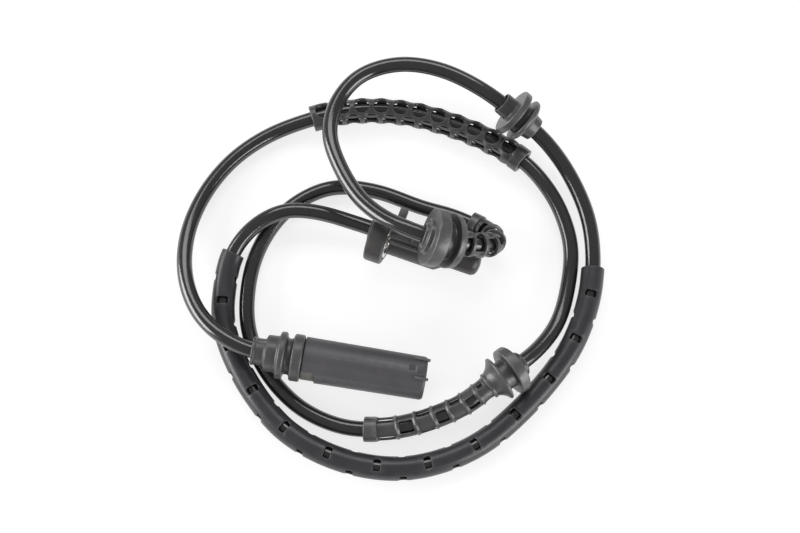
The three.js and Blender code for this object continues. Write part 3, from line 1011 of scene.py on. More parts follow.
class PiercedTube:
    """A tube along the route, with a varying outside and windows through its wall.

    Attributes:
        SECTORS: Points round the wall.
        SECTOR: Angle from one point to the next.
        GRID_SHARE: Largest share of the way to the grid that a ring round a window takes.
        END_MARKS: Distances from either end at which the wall has rings of points.
        END_CLEAR: Length at either end that has no rings but those.
        END_ROUND: Depth of the rounding of both end edges.
        END_REACH: Length of that rounding.
        OUTER_EDGE: Distance outside a window's outline, with depth below the skin.
        BORE_EDGE: Distance outside a window's outline, with height over the bore.
    """

    SECTORS = 48
    SECTOR = 2 * math.pi / SECTORS
    GRID_SHARE = 0.8
    END_MARKS = (0.0, 0.1, 0.25, 0.5)
    END_CLEAR = 0.7
    END_ROUND = 0.25
    END_REACH = 0.3
    OUTER_EDGE = ((0.22, 0.0), (0.088, 0.03), (0.0, 0.14), (-0.04, 0.34))
    BORE_EDGE = ((-0.04, 0.12), (0.06, 0.0))

    def __init__(
        self,
        length: float,
        outer: Callable[[float], float],
        inner: float,
        marks: Iterable[float],
        place: Place,
    ) -> None:
        """Sets up the tube.

        Args:
            length: Length of the tube.
            outer: Outside radius at each length.
            inner: Bore radius.
            marks: Lengths at which the wall has rings of points.
            place: Gives the axes at each length.
        """
        every = {round(m, 4) for m in marks if self.END_CLEAR < m < length - self.END_CLEAR}
        every |= {round(e, 4) for e in self.END_MARKS}
        every |= {round(length - e, 4) for e in self.END_MARKS}
        self.length = length
        self.marks = sorted(every)
        self.outer = outer
        self.inner = inner
        self.place = place
        self.windows: list[Window] = []

    @classmethod
    def facing(cls, axes: Axes, side: Vector) -> int:
        """Finds the part of a tube's wall that looks to one side, as a turn in sectors."""
        angle = math.atan2(side.dot(axes.up), side.dot(axes.across))
        return round((math.pi / 2 - angle) / cls.SECTOR) % cls.SECTORS

    def _radius(self, s: float) -> float:
        """Gives the outside radius, with both end edges rounded.

        Args:
            s: Length along the tube.

        Returns:
            The radius.
        """
        near = min(s, self.length - s)
        ease = max(0.0, 1 - near / self.END_REACH)
        return self.outer(s) - self.END_ROUND * ease**2

    def _point(self, s: float, turn: float, radius: float) -> Vector:
        """Point of the wall at a length, a turn in sectors and a radius."""
        angle = math.pi / 2 - turn * self.SECTOR
        return self.place(s).point(0, radius * math.cos(angle), radius * math.sin(angle))

    def _nearest(self, s: float) -> int:
        """Number of the mark nearest to a length."""
        return min(range(len(self.marks)), key=lambda i: abs(self.marks[i] - s))

    def build(self, draft: Draft) -> None:
        """Builds the wall round its windows.

        Args:
            draft: Draft that takes the points and faces.
        """
        n = self.SECTORS
        skin = [[draft.add(self._point(s, j, self._radius(s))) for j in range(n)] for s in self.marks]
        bore = [[draft.add(self._point(s, j, self.inner)) for j in range(n)] for s in self.marks]
        taken: set[tuple[int, int]] = set()
        for window in self.windows:
            taken |= self._frame_window(draft, window, skin, bore)
        for i in range(len(self.marks) - 1):
            for j in range(n):
                if (i, j) in taken:
                    continue
                k = (j + 1) % n
                draft.face((skin[i][j], skin[i][k], skin[i + 1][k], skin[i + 1][j]))
                draft.face((bore[i][j], bore[i + 1][j], bore[i + 1][k], bore[i][k]))
        draft.bridge(skin[0], bore[0])
        draft.bridge(bore[-1], skin[-1])

    def _frame_window(
        self, draft: Draft, window: Window, skin: list[list[int]], bore: list[list[int]]
    ) -> set[tuple[int, int]]:
        """Builds the wall from a window's outline to the grid round it.

        Args:
            draft: Draft that takes the points and faces.
            window: The window.
            skin: Grid of outside points.
            bore: Grid of bore points.

        Returns:
            The grid cells that the window's surround stands for.
        """
        n = self.SECTORS
        low = self._nearest(window.centre - window.margin)
        high = self._nearest(window.centre + window.margin)
        left, right = window.turn - window.spread, window.turn + window.spread
        rim = [(i, left) for i in range(low, high)]
        rim += [(high, j) for j in range(left, right)]
        rim += [(i, right) for i in range(high, low, -1)]
        rim += [(low, j) for j in range(right, left, -1)]
        outline: list[tuple[float, float, float]] = []
        for i, j in rim:
            along, turn = self.marks[i] - window.centre, (j - window.turn) * self.SECTOR
            size = window.outline(along, turn)
            outline.append((along / size, turn / size, size))

        def ring(grow: float, drop: float | None, radius: float = 0.0) -> list[int]:
            """Adds a ring of points round the window.

            Args:
                grow: Distance outside the outline.
                drop: Depth below the skin, or None for a ring at a radius.
                radius: That radius.

            Returns:
                The point numbers.
            """
            numbers = []
            for along, turn, size in outline:
                reach = math.hypot(along, turn * self.inner)
                scale = min(1 + grow / reach, 1 + self.GRID_SHARE * (size - 1))
                s = window.centre + along * scale
                r = radius if drop is None else self._radius(s) - drop
                numbers.append(draft.add(self._point(s, window.turn + turn * scale / self.SECTOR, r)))
            return numbers

        loops = [
            [skin[i][j % n] for i, j in rim],
            *(ring(grow, drop) for grow, drop in self.OUTER_EDGE),
            *(ring(grow, None, self.inner + rise) for grow, rise in self.BORE_EDGE),
            [bore[i][j % n] for i, j in rim],
        ]
        for one, other in zip(loops, loops[1:]):
            draft.bridge(one, other)
        return {(i, j % n) for i in range(low, high) for j in range(left, right)}


# The object


@dataclass
class SubAssembly:
    """Base of the sub-assemblies: keeps the route and the pieces that were made."""

    route: Route
    pieces: list[bpy.types.Object] = field(default_factory=list)

    def seat(self, piece: bpy.types.Object, finish: Finish, *nodes: str) -> None:
        """Rides a piece on the part's one body and lets it stand for CAD nodes.

        Args:
            piece: The piece, in place.
            finish: Its main finish; not used.
            nodes: CAD nodes that it stands for.
        """
        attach(piece, BODY)
        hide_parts(*nodes)
        self.pieces.append(piece)

    def along(self, start: float, reference: Vector = Vector((0, 0, 1)), roll: float = 0.0) -> Place:
        """Axes of a piece that follows the route.

        Args:
            start: Length along the route at which the piece starts.
            reference: Direction that the up axis stays nearest to.
            roll: Turn about the route, in degrees.

        Returns:
            A function from length along the piece to axes.
        """
        return lambda s: self.route.axes(start + s, reference, math.radians(roll))


@dataclass
class Cable(SubAssembly):
    """The one cable, from inside the head to inside the connector."""

    radius: float = 2.75
    exit: tuple[float, float, float] = (-0.0205, 0.0019, 0.007)
    length: float = 1.08

    def build(self) -> None:
        """Lays the round jacket along the route, as a curve of one spline."""
        curve = bpy.data.curves.new("cable_jacket", "CURVE")
        curve.dimensions = "3D"
        curve.bevel_depth = self.radius * MM
        curve.bevel_resolution = 10
        curve.use_fill_caps = True
        spline = curve.splines.new("POLY")
        spline.points.add(len(self.route.points) - 1)
        for place, point in zip(spline.points, self.route.points):
            place.co = (*(point * MM), 1.0)
        spline.use_smooth = True
        curve.materials.append(CABLE_JACKET.material())
        self.seat(stand("cable_jacket", curve), CABLE_JACKET, "cable")

    def declare(self, carried: Sequence[bpy.types.Object]) -> None:
        """Args:
            carried: Sleeves, grommets and connector pieces; not used.
        """


@dataclass
class LongSleeve(SubAssembly):
    """Smooth sleeve with notch pairs that turn by a quarter from one to the next."""

    radius: float = 4.12
    bore: float = 3.25
    first_notch: float = 9.8
    notch_step: float = 8.65
    notch_length: float = 2.55
    notch_angle: float = 33.0
    notch_margin: float = 2.3
    squareness: float = 5.0
    plain_end: float = 6.0
    lean: Vector = field(default_factory=lambda: Vector((0, 0.1, 0.99)))

    def build(self) -> None:
        """Builds the sleeve with all its notches."""
        start, end = self.route.at(Station.SLEEVE_START), self.route.at(Station.SLEEVE_END)
        length, margin = end - start, self.notch_margin
        count = int((length - self.plain_end - self.first_notch) / self.notch_step) + 1
        centres = [self.first_notch + i * self.notch_step for i in range(count)]
        rings = (-margin, -1.5, -0.75, 0.0, 0.75, 1.5, margin, margin + 2.0)
        marks = [2.0, 4.0, 6.0, *(centre + ring for centre in centres for ring in rings)]
        place = self.along(start, self.lean)
        tube = PiercedTube(length, lambda s: self.radius, self.bore, marks, place)
        for i, centre in enumerate(centres):
            for turn in (0, 24) if i % 2 else (12, 36):
                half = self.notch_length / 2
                window = Window(centre, turn, half, self.notch_angle, margin, self.squareness)
                tube.windows.append(window)
        draft = Draft()
        tube.build(draft)
        self.seat(draft.make("slotted_sleeve", [SLEEVE_BLACK]), SLEEVE_BLACK, "long_sleeve")


@dataclass
class NetGuard(SubAssembly):
    """Guard with four rows of oval windows, set by halves against each other."""

    radius: float = 4.8
    waist: float = 4.3
    bore: float = 3.25
    collar_end: float = 76.3
    near_collar: float = 4.2
    collar_ease: float = 0.3
    first_window: float = 6.9
    pitch: float = 7.1
    window_length: float = 5.5
    window_angle: float = 41.5
    far_length: float = 3.7
    far_angle: float = 31.0
    near_turns: tuple[int, ...] = (0, 12)
    squareness: float = 2.5
    plain_end: float = 4.0
    end_margin: float = 0.6
    roll: float = 9.0

    def _outer(self, s: float) -> float:
        """Gives the outside radius: a swelling at each window, and a collar at both ends.

        Args:
            s: Length along the guard.

        Returns:
            The radius.
        """
        middle, swing = (self.radius + self.waist) / 2, (self.radius - self.waist) / 2
        wave = middle + swing * math.cos(2 * math.pi * (s - self.first_window) / self.pitch)
        inside = min(s - self.near_collar, self.collar_end - s) / self.collar_ease
        share = min(max(inside, 0.0), 1.0)
        return wave * share + self.radius * (1 - share)

    def _windows(self, length: float) -> list[Window]:
        """Places the windows, big ones on the near rows and smaller ones on the far rows.

        Args:
            length: Length of the guard.

        Returns:
            The windows.
        """
        windows = []
        half_pitch = self.pitch / 2
        rows = math.ceil((length - self.plain_end - self.first_window) / half_pitch)
        for row in range(rows):
            centre = self.first_window + row * half_pitch
            margin = min(half_pitch, length - self.end_margin - centre)
            for turn in (12, 36) if row % 2 else (0, 24):
                near = turn in self.near_turns
                reach = (self.window_length if near else self.far_length) / 2
                angle = self.window_angle if near else self.far_angle
                windows.append(Window(centre, turn, reach, angle, margin, self.squareness))
        return windows

    def build(self) -> None:
        """Builds the guard with its windows."""
        start, end = self.route.at(Station.GUARD_START), self.route.at(Station.GUARD_END)
        length = end - start
        step = self.pitch / 10
        marks = [self.first_window + k * step for k in range(-9, int(length / step) + 1)]
        ease = (-0.02, self.collar_ease + 0.02)
        marks += [self.near_collar + d for d in ease] + [self.collar_end - d for d in ease]
        tube = PiercedTube(length, self._outer, self.bore, marks, self.along(start, roll=self.roll))
        tube.windows = self._windows(length)
        draft = Draft()
        tube.build(draft)
        self.seat(draft.make("net_guard", [GUARD_RUBBER]), GUARD_RUBBER, "scalloped_guard")


@dataclass(frozen=True)
class Bay:
    """Windows of one bay between two rings of a bend relief.

    Attributes:
        centre: Length along the relief at the bay's middle.
        reach: Half the length of its windows.
        turns: Angle at the middle of each window, in sectors.
        angle: Half the angle that each window spans, in degrees.
        spread: Sectors of wall that are rebuilt on either side of each window's middle.
    """

    centre: float
    reach: float
    turns: tuple[int, ...]
    angle: float
    spread: int


@dataclass
class Ladder:
    """Sizes of the bend relief that two grommets share.

    Attributes:
        radius: Outside radius between the rings.
        ring_radius: Outside radius on the rings and the end collar.
        bore: Bore radius.
        ring_half: Half the width of a raised ring.
        ring_foot: Distance from a ring's middle at which points of the wall flank it.
        ring_edge: Distance to the next points on either side of those.
        ring_ease: Length over which a ring rises.
        window_margin: Length of wall that is rebuilt beyond either end of a window.
        squareness: 2 makes the windows ellipses, and more makes them squarer.
    """

    radius: float = 3.88
    ring_radius: float = 4.32
    bore: float = 3.15
    ring_half: float = 0.332
    ring_foot: float = 0.7
    ring_edge: float = 0.1
    ring_ease: float = 0.14
    window_margin: float = 0.5
    squareness: float = 7.0

    def tube(
        self,
        length: float,
        rings: Sequence[float],
        collar: tuple[float, float],
        bays: Sequence[Bay],
        place: Place,
    ) -> PiercedTube:
        """Builds the relief's wall.

        Args:
            length: Length of the relief.
            rings: Middle of each raised ring.
            collar: Start and end of the plain end collar.
            bays: The bays with their windows.
            place: Gives the axes at each length.

        Returns:
            The tube with its windows, not yet in a draft.
        """
        rise = self.ring_radius - self.radius

        def outer(s: float) -> float:
            """Gives the outside radius with raised rings and the end collar.

            Args:
                s: Length along the relief.

            Returns:
                The radius.
            """
            reach = max(self.ring_half - abs(s - ring) for ring in rings)
            reach = max(reach, min(s - collar[0], collar[1] - s))
            return self.radius + rise * min(max(reach / self.ring_ease + 0.5, 0.0), 1.0)

        edge = (-self.ring_edge, 0.0, self.ring_edge)
        feet = [ring + side for ring in rings for side in (-self.ring_foot, self.ring_foot)]
        marks = [*rings, sum(collar) / 2]
        marks += [foot + d for foot in feet for d in edge]
        marks += [side + d for side in collar for d in edge]
        for bay in bays:
            end = bay.reach + self.window_margin
            marks += [bay.centre + bay.reach * k / 4 for k in range(-3, 4)]
            marks += [bay.centre - end, bay.centre + end]
        tube = PiercedTube(length, outer, self.bore, marks, place)
        for bay in bays:
            end = bay.reach + self.window_margin
            for turn in bay.turns:
                sector = turn % tube.SECTORS
                window = Window(
                    bay.centre, sector, bay.reach, bay.angle, end, self.squareness, bay.spread
                )
                tube.windows.append(window)
        return tube


@dataclass
class LadderGrommet(SubAssembly):
    """Grommet with a flared cone and a groove, and the gently bent ladder relief before it."""

    ladder: Ladder = field(default_factory=Ladder)
    rings: tuple[float, ...] = (11.3, 18.1, 24.6, 30.4, 35.9, 41.4)
    end_collar: float = 4.3
    rib: float = 0.85
    windows: tuple[int, ...] = (0, 24)
    window_angle: float = 38.0
    window_spread: int = 6
    slots: tuple[int, ...] = (8, 16, 32, 40)
    slot_angle: float = 19.0
    slot_spread: int = 4
    last_reach: float = 1.0
    flare_length: float = 8.4
    cone_radius: float = 8.05
    groove_radius: float = 5.3
    disc: float = 54.0
    disc_radius: float = 8.6
    disc_width: float = 3.0
    collar_radius: float = 4.65
    collar_length: float = 2.8
    rounding: float = 0.42
    roll: float = 18.0
    twist: float = 12.0

    def _place(self) -> Place:
        """Turns the relief a little further towards its flare.

        Returns:
            A function from length along the relief to axes.
        """
        start = self.route.at(Station.LADDER_START)
        first, last = self.rings[0], self.rings[-2]

        def place(s: float) -> Axes:
            """Axes at a length."""
            share = min(max((s - first) / (last - first), 0.0), 1.0)
            return self.route.axes(start + s, roll=math.radians(self.roll + self.twist * share))

        return place

    def _bays(self, flare: float) -> list[Bay]:
        """Lays out bays in turn with four narrow slots and with two wide windows.

        Args:
            flare: Length at which the cone begins.

        Returns:
            The bays, and a short one before the cone.
        """
        slots = (self.slots, self.slot_angle, self.slot_spread)
        windows = (self.windows, self.window_angle, self.window_spread)
        edges = [self.end_collar - 0.4, *self.rings]
        bays = []
        for i, (low, high) in enumerate(zip(edges, edges[1:])):
            reach = (high - low) / 2 - self.rib
            bays.append(Bay((low + high) / 2, reach, *(windows if i % 2 else slots)))
        bays.append(Bay((self.rings[-1] + flare) / 2 + 0.1, self.last_reach, *slots))
        return bays

    def _cone(self, flare: float) -> Profile:
        """Outlines the cone, the groove, the disc and its collar.

        Args:
            flare: Length at which the cone begins.

        Returns:
            The outline.
        """
        d, bore = self.disc, self.ladder.bore
        front = d + self.disc_width
        end = front + self.collar_length
        return [
            (flare, bore),
            (flare, 4.7),
            (flare + 1.0, 4.75),
            (flare + 1.2, 4.55),
            (d - 6.6, 4.85),
            (d - 5.6, 5.5),
            (d - 4.8, 6.4),
            (d - 4.2, 7.3),
            (d - 3.75, self.cone_radius),
            (d - 3.05, self.cone_radius - 0.15),
            (d - 2.9, self.groove_radius),
            (d + 0.1, self.groove_radius),
            (d + 0.1, self.disc_radius - 0.05),
            (front, self.disc_radius),
            (front, self.collar_radius),
            (end, self.collar_radius - 0.05),
            (end, bore),
        ]

    def build(self) -> None:
        """Builds relief, cone, groove, disc and collar as one moulding."""
        place = self._place()
        flare = self.disc - self.flare_length
        collar = (0.0, self.end_collar)
        draft = Draft()
        self.ladder.tube(flare + 0.4, self.rings, collar, self._bays(flare), place).build(draft)
        draft.revolve(rounded(self._cone(flare), self.rounding), place, sides=80)
        piece = draft.make("ladder_relief_grommet", [GROMMET_RUBBER])
        self.seat(piece, GROMMET_RUBBER, "ladder_grommet")


@dataclass
class CurledGrommet(SubAssembly):
    """Large grommet over the head, with a stepped neck and the relief that curls down."""

    ladder: Ladder = field(default_factory=lambda: Ladder(ring_radius=4.4, ring_half=1.047, ring_foot=0.5))
    length: float = 48.3
    neck_radius: float = 6.1
    disc: tuple[float, float] = (2.4, 5.8)
    disc_radius: float = 10.0
    groove_radius: float = 6.4
    flange: tuple[float, float] = (9.4, 11.9)
    flange_radius: float = 9.6
    rounding: float = 0.42
    tube_start: float = 12.6
    first_ring: float = 5.4
    pitch: float = 4.9
    rings: int = 5
    end_collar: float = 4.0
    reach: float = 1.9
    window_angle: float = 60.0
    window_swing: int = 3
    spread: int = 9
    curl_side: Vector = field(default_factory=lambda: Vector((0, 0.785, 0.62)))
    open_side: Vector = field(default_factory=lambda: Vector((0.1, -0.31, 0.95)))

    def _neck(self) -> Profile:
        """Outlines the stepped neck, the disc, the groove and the flange.

        Returns:
            The outline.
        """
        bore, (back, front) = self.ladder.bore, self.disc
        rear, lip = self.flange
        return [
            (0.0, bore),
            (0.0, 4.2),
            (0.9, 4.3),
            (1.0, self.neck_radius - 0.2),
            (back - 0.1, self.neck_radius),
            (back, self.disc_radius),
            (front, self.disc_radius),
            (front, self.groove_radius),
            (rear, self.groove_radius),
            (rear, self.flange_radius),
            (lip, self.flange_radius - 0.4),
            (lip + 0.2, 5.4),
            (lip + 1.2, 4.5),
            (lip + 1.3, bore),
        ]

    def _bays(self, place: Place) -> list[Bay]:
        """Lays out the bays, with windows that look up and sway from bay to bay.

        Args:
            place: Gives the relief's axes at each length.

        Returns:
            The bays before, between and after the rings.
        """
        bays = []
        for i in range(self.rings + 1):
            centre = self.first_ring + (i - 0.5) * self.pitch
            swing = self.window_swing if i % 2 else -self.window_swing
            turn = PiercedTube.facing(place(centre), self.open_side) + swing
            bays.append(Bay(centre, self.reach, (turn, turn + 24), self.window_angle, self.spread))
        return bays

    def build(self) -> None:
        """Builds neck, disc, groove, flange and curled relief as one moulding."""
        start = self.route.at(Station.CURL_START)
        draft = Draft()
        draft.revolve(rounded(self._neck(), self.rounding), self.along(start), sides=80)
        length = self.length - self.tube_start
        place = self.along(start + self.tube_start, self.curl_side)
        rings = [self.first_ring + i * self.pitch for i in range(self.rings)]
        collar = (length - self.end_collar, length)
        self.ladder.tube(length, rings, collar, self._bays(place), place).build(draft)
        piece = draft.make("curled_relief_grommet", [GROMMET_RUBBER])
        self.seat(piece, GROMMET_RUBBER, "curled_grommet")


@dataclass
class PlainGrommet(SubAssembly):
    """Short grommet with two flanges, a groove and a collar on either side."""

    bore: float = 3.4
    half_length: float = 8.0
    flange: float = 8.75
    flange_faces: tuple[float, float] = (0.8, 3.4)
    groove: float = 5.6
    groove_end: float = -1.8
    collar: float = 3.95
    rear_collar: float = 4.3
    rounding: float = 0.5

    def build(self) -> None:
        """Builds the grommet on its stretch of cable."""
        axes = self.route.axes(self.route.at(Station.PLAIN_GROMMET))
        end, (near, far) = self.half_length, self.flange_faces
        profile = [
            (end, self.bore),
            (end, self.collar),
            (end - 0.8, self.collar + 0.1),
            (far, self.collar + 0.15),
            (far, self.flange),
            (near, self.flange),
            (near, self.groove),
            (self.groove_end, self.groove),
            (self.groove_end, self.flange - 0.2),
            (self.groove_end - 1.5, self.flange - 0.4),
            (self.groove_end - 2.5, 6.6),
            (self.groove_end - 2.7, 4.9),
            (-end, self.rear_collar),
            (-end, self.bore),
        ]
        outline = rounded(profile, self.rounding, steps=4)
        piece = turned("two_flange_grommet", [GROMMET_RUBBER], outline, axes.ahead, 80)
        self.seat(piece, GROMMET_RUBBER, "plain_grommet")


@dataclass
class Connector(SubAssembly):
    """Rubber boot, round shell, insert and pins on the last straight stretch."""

    boot: tuple[float, float] = (0.6, 24.4)
    boot_bore: float = 3.05
    boot_collar: float = 4.9
    boot_drum: float = 6.4
    boot_neck: float = 6.2
    boot_ring: float = 8.1
    boot_tail: float = 6.5
    boot_rounding: float = 1.0
    shell: tuple[float, float] = (18.3, 60.3)
    shell_radius: float = 7.7
    mouth_radius: float = 7.4
    shell_bore: float = 6.5
    rear_bore: float = 6.8
    rear_bore_end: float = 25.0
    shell_rounding: float = 0.45
    recess: tuple[float, float] = (17.5, 23.0)
    recess_turns: tuple[float, float] = (138.0, 228.0)
    recess_floor: float = 7.1
    insert: tuple[float, float] = (31.0, 48.5)
    insert_gap: float = 0.3
    pin_hole: float = 1.2
    pin_radius: float = 0.8
    pin_end: float = 56.0
    pin_pitch: float = 3.8
    blocks: tuple[Block, ...] = (
        Block("panel", Cut.REMOVE, (57.1, -0.3, 6.7), (59.7, 4.7, 10.0), 0.2),
        Block("mark", Cut.REMOVE, (54.1, 0.4, 6.95), (56.3, 2.8, 10.0), 0.15),
        Block("side_rib", Cut.JOIN, (55.7, 4.8, 4.6), (61.0, 5.6, 6.2), 0.15),
        Block("top_rib", Cut.JOIN, (56.2, -2.3, 6.5), (61.0, -1.5, 7.9), 0.15),
    )

    def __post_init__(self) -> None:
        """Takes the axes from the last two route points, where the part has its connector."""
        start, end = Vector(ROUTE[-2]) / MM, Vector(ROUTE[-1]) / MM
        along = (end - start).normalized()
        across = Vector((0, 0, 1)).cross(along).normalized()
        self.axes = Axes(start, along, across, along.cross(across))

    def build(self) -> None:
        """Builds every connector piece."""
        self._boot()
        self._shell()
        self._insert()
        for name, y in zip("ab", (self.pin_pitch / 2, -self.pin_pitch / 2)):
            self._pin(name, y)

    def _boot(self) -> None:
        """Builds the boot with its collar, drum and two rounded rings."""
        start, end = self.boot
        profile = [
            (start, self.boot_bore),
            (start, self.boot_collar),
            (start + 0.9, self.boot_collar),
            (1.7, self.boot_collar - 0.3),
            (5.0, self.boot_collar - 0.25),
            (5.3, self.boot_drum - 0.3),
            (6.1, self.boot_drum - 0.15),
            (9.4, self.boot_drum),
            (9.6, self.boot_ring),
            (11.9, self.boot_ring + 0.1),
            (12.1, self.boot_neck),
            (14.1, self.boot_neck),
            (14.3, self.boot_ring),
            (17.9, self.boot_ring),
            (18.1, self.boot_tail),
            (end, self.boot_tail),
            (end, self.boot_bore),
        ]
        outline = rounded(profile, self.boot_rounding, steps=5)
        piece = turned("plug_boot", [BOOT_RUBBER], outline, self.axes.ahead, 96)
        self.seat(piece, BOOT_RUBBER, "connector_boot")

    def _shell(self) -> None:
        """Builds the shell with its ribs, recessed panel, mark and side recess."""
        r, (start, end) = self.shell_radius, self.shell
        profile = [
            (start, self.rear_bore),
            (start, r - 0.1),
            (start + 0.4, r),
            (end - 0.8, self.mouth_radius + 0.03),
            (end, self.mouth_radius - 0.45),
            (end, self.shell_bore),
            (self.rear_bore_end, self.shell_bore),
            (self.rear_bore_end, self.rear_bore),
        ]
        finishes = [SHELL_NYLON, RECESS_LIT_NYLON]
        outline = rounded(profile, self.shell_rounding, steps=4)
        shell = turned("plug_shell", finishes, outline, self.axes.ahead, 128)
        recess = Draft()
        # The recess faces take the paler nylon, a painted highlight on them.
        recess.sector(self.axes, self.recess, (self.recess_floor, r + 2), self.recess_turns, patch=1)
        steps = [(Cut.REMOVE, recess.make("side_recess", finishes))]
        steps += [block.body(self.axes, SHELL_NYLON) for block in self.blocks]
        combine(shell, steps)
        self.seat(shell, SHELL_NYLON, "connector_shell")

    def _insert(self) -> None:
        """Builds the insert that fills the shell, with a hole for each pin."""
        first, last = self.insert
        radius = self.shell_bore - self.insert_gap
        profile = [(first, 0), (first, radius), (last, radius), (last, 0)]
        outline = rounded(profile, 0.35, closed=False)
        insert = turned("contact_block", [DARK_RESIN], outline, self.axes.ahead, 72, closed=False)
        r = self.pin_hole
        hole = [(first - 1, 0), (first - 1, r), (last + 1, r), (last + 1, 0)]
        bores = []
        for y in (self.pin_pitch / 2, -self.pin_pitch / 2):
            side = self.axes.beside(y)
            bore = turned("pin_bore", [DARK_RESIN], hole, side.ahead, 24, closed=False)
            bores.append((Cut.REMOVE, bore))
        combine(insert, bores)
        self.seat(insert, DARK_RESIN, "contact_insert")

    def _pin(self, name: str, y: float) -> None:
        """Builds one round pin with a thicker root and a tapered tip.

        Args:
            name: Letter of the pin.
            y: Its place across the connector.
        """
        first, r, end = self.insert[0], self.pin_radius, self.pin_end
        profile = [
            (first + 2, 0),
            (first + 2, r + 0.1),
            (first + 7, r + 0.1),
            (first + 7.4, r),
            (end - 0.7, r),
            (end, r * 0.4),
            (end, 0),
        ]
        outline = rounded(profile, 0.15, closed=False)
        place = self.axes.beside(y).ahead
        pin = turned("round_pin_" + name, [CONTACT_BRASS], outline, place, 28, closed=False)
        self.seat(pin, CONTACT_BRASS, "contact_pin_" + name)


@dataclass
class Head(SubAssembly):
    """Moulded head with its ear, bush, block and probe."""

    centre_y: float = 1.9113
    axis_z: float = 7.0
    entry_bore: float = 4.0
    entry_end: float = -8.0
    collar: tuple[float, float] = (-20.5, -15.9)
    collar_radius: float = 5.2
    body_radius: float = 6.9
    body_end: float = 5.3
    neck_radius: float = 3.95
    probe_radius: float = 4.4
    probe_bore: float = 3.4
    probe_end: float = 20.5
    rounding: float = 0.5
    ear_lean: float = 35.0
    ear_reach: float = 10.5
    ear_radius: float = 8.0
    hub_radius: float = 7.0
    ear_span: tuple[float, float] = (-18.4, -12.0)
    ear_sides: int = 120
    bush_radius: float = 5.6
    bush_gap: float = 0.15
    bush_bore: float = 3.3
    slots: tuple[float, ...] = (-4.6, -1.4, 1.8)
    half_slot: float = 0.8

    def __post_init__(self) -> None:
        """Sets the axes of the head and of its ear."""
        x, y, z = Vector((1, 0, 0)), Vector((0, 1, 0)), Vector((0, 0, 1))
        self.axes = Axes(Vector((0, self.centre_y, self.axis_z)), x, y, z)
        lean = math.radians(self.ear_lean)
        self.ear_offset = (-self.ear_reach * math.sin(lean), self.ear_reach * math.cos(lean))
        self.ear_axes = Axes(self.axes.point(0, *self.ear_offset), x, y, z)

    def build(self) -> None:
        """Builds the housing and its bush."""
        self._housing()
        self._bush()

    def _outline(self) -> Profile:
        """Outlines collar, body, neck and probe, and the pockets at both ends.

        Returns:
            The outline.
        """
        (back, hub), end, probe = self.collar, self.probe_end, self.probe_radius
        return [
            (back, self.entry_bore),
            (back, self.collar_radius),
            (hub, self.collar_radius),
            (hub, self.body_radius),
            (self.body_end, self.body_radius),
            (9.4, self.neck_radius),
            (10.4, self.neck_radius),
            (10.8, probe),
            (end - 2.2, probe),
            (end - 0.8, probe - 0.8),
            (end - 0.2, probe / 2),
            (end, 0.8),
            (end, 0.0),
            (end - 2.7, 0.0),
            (end - 2.7, self.probe_bore),
            (self.entry_end, self.probe_bore),
            (self.entry_end, self.entry_bore),
        ]

    def _housing(self) -> None:
        """Joins body, ear, pad, ledge and tab, and cuts the cable entry and the slots."""
        finishes = [HEAD_NYLON]
        outline = rounded(self._outline(), self.rounding)
        housing = turned("head_housing", finishes, outline, self.axes.ahead, 96)
        root = self.ear_span[1] - 1.0
        joined = (
            Block("pad", Cut.JOIN, (root, -3.3, 4.2), (4.4, 4.6, 7.5), 0.35),
            Block("ledge", Cut.JOIN, (root, -4.9, 3.6), (3.6, -3.6, 6.1), 0.25),
            Block("tab", Cut.JOIN, (-12.9, 4.0, 0.4), (-9.9, 10.2, 2.8), 0.45),
        )
        back, front, r = self.collar[0] - 1.0, self.entry_end, self.entry_bore + 0.02
        entry = [(back, 0), (back, r), (front, r), (front, 0)]
        steps = [(Cut.JOIN, self._ear())]
        steps += [block.body(self.axes, HEAD_NYLON) for block in joined]
        bore = turned("entry_bore", finishes, entry, self.axes.ahead, 96, closed=False)
        steps.append((Cut.REMOVE, bore))
        for x in self.slots:
            low, high = (x - self.half_slot, -2.4, 6.4), (x + self.half_slot, 3.8, 9.0)
            steps.append(Block("slot", Cut.REMOVE, low, high, 0.15).body(self.axes, HEAD_NYLON))
        combine(housing, steps)
        self.seat(housing, HEAD_NYLON, "sensor_housing")

    def _reach(self, turn: float) -> float:
        """Measures from the ear's centre to its outline, round circles from bolt to hub.

        Args:
            turn: Angle about the ear's centre, in radians.

        Returns:
            The distance.
        """
        u, v = math.cos(turn), math.sin(turn)
        steps = 60
        best = 0.0
        for k in range(steps + 1):
            t = k / steps
            radius = self.ear_radius + (self.hub_radius - self.ear_radius) * t
            y, z = (-offset * t for offset in self.ear_offset)
            middle = y * u + z * v
            inside = middle**2 - (y * y + z * z) + radius**2
            if inside > 0:
                best = max(best, middle + math.sqrt(inside))
        return best

    def _ear(self) -> bpy.types.Object:
        """Makes the ear as a rounded plate between the hub and the bolt hole.

        Returns:
            The ear with its hole.
        """
        back, front = self.ear_span
        hole = self.bush_radius + self.bush_gap
        turns = [2 * math.pi * k / self.ear_sides for k in range(self.ear_sides)]
        reach = [self._reach(t) for t in turns]
        draft = Draft()

        def loop(x: float, radii: Iterable[float]) -> list[int]:
            """Adds a ring of points round the ear's centre.

            Args:
                x: Place of the ring along the head.
                radii: Radius at each angle.

            Returns:
                The point numbers.
            """
            ring = zip(turns, radii)
            points = [self.ear_axes.point(x, r * math.cos(t), r * math.sin(t)) for t, r in ring]
            return [draft.add(point) for point in points]

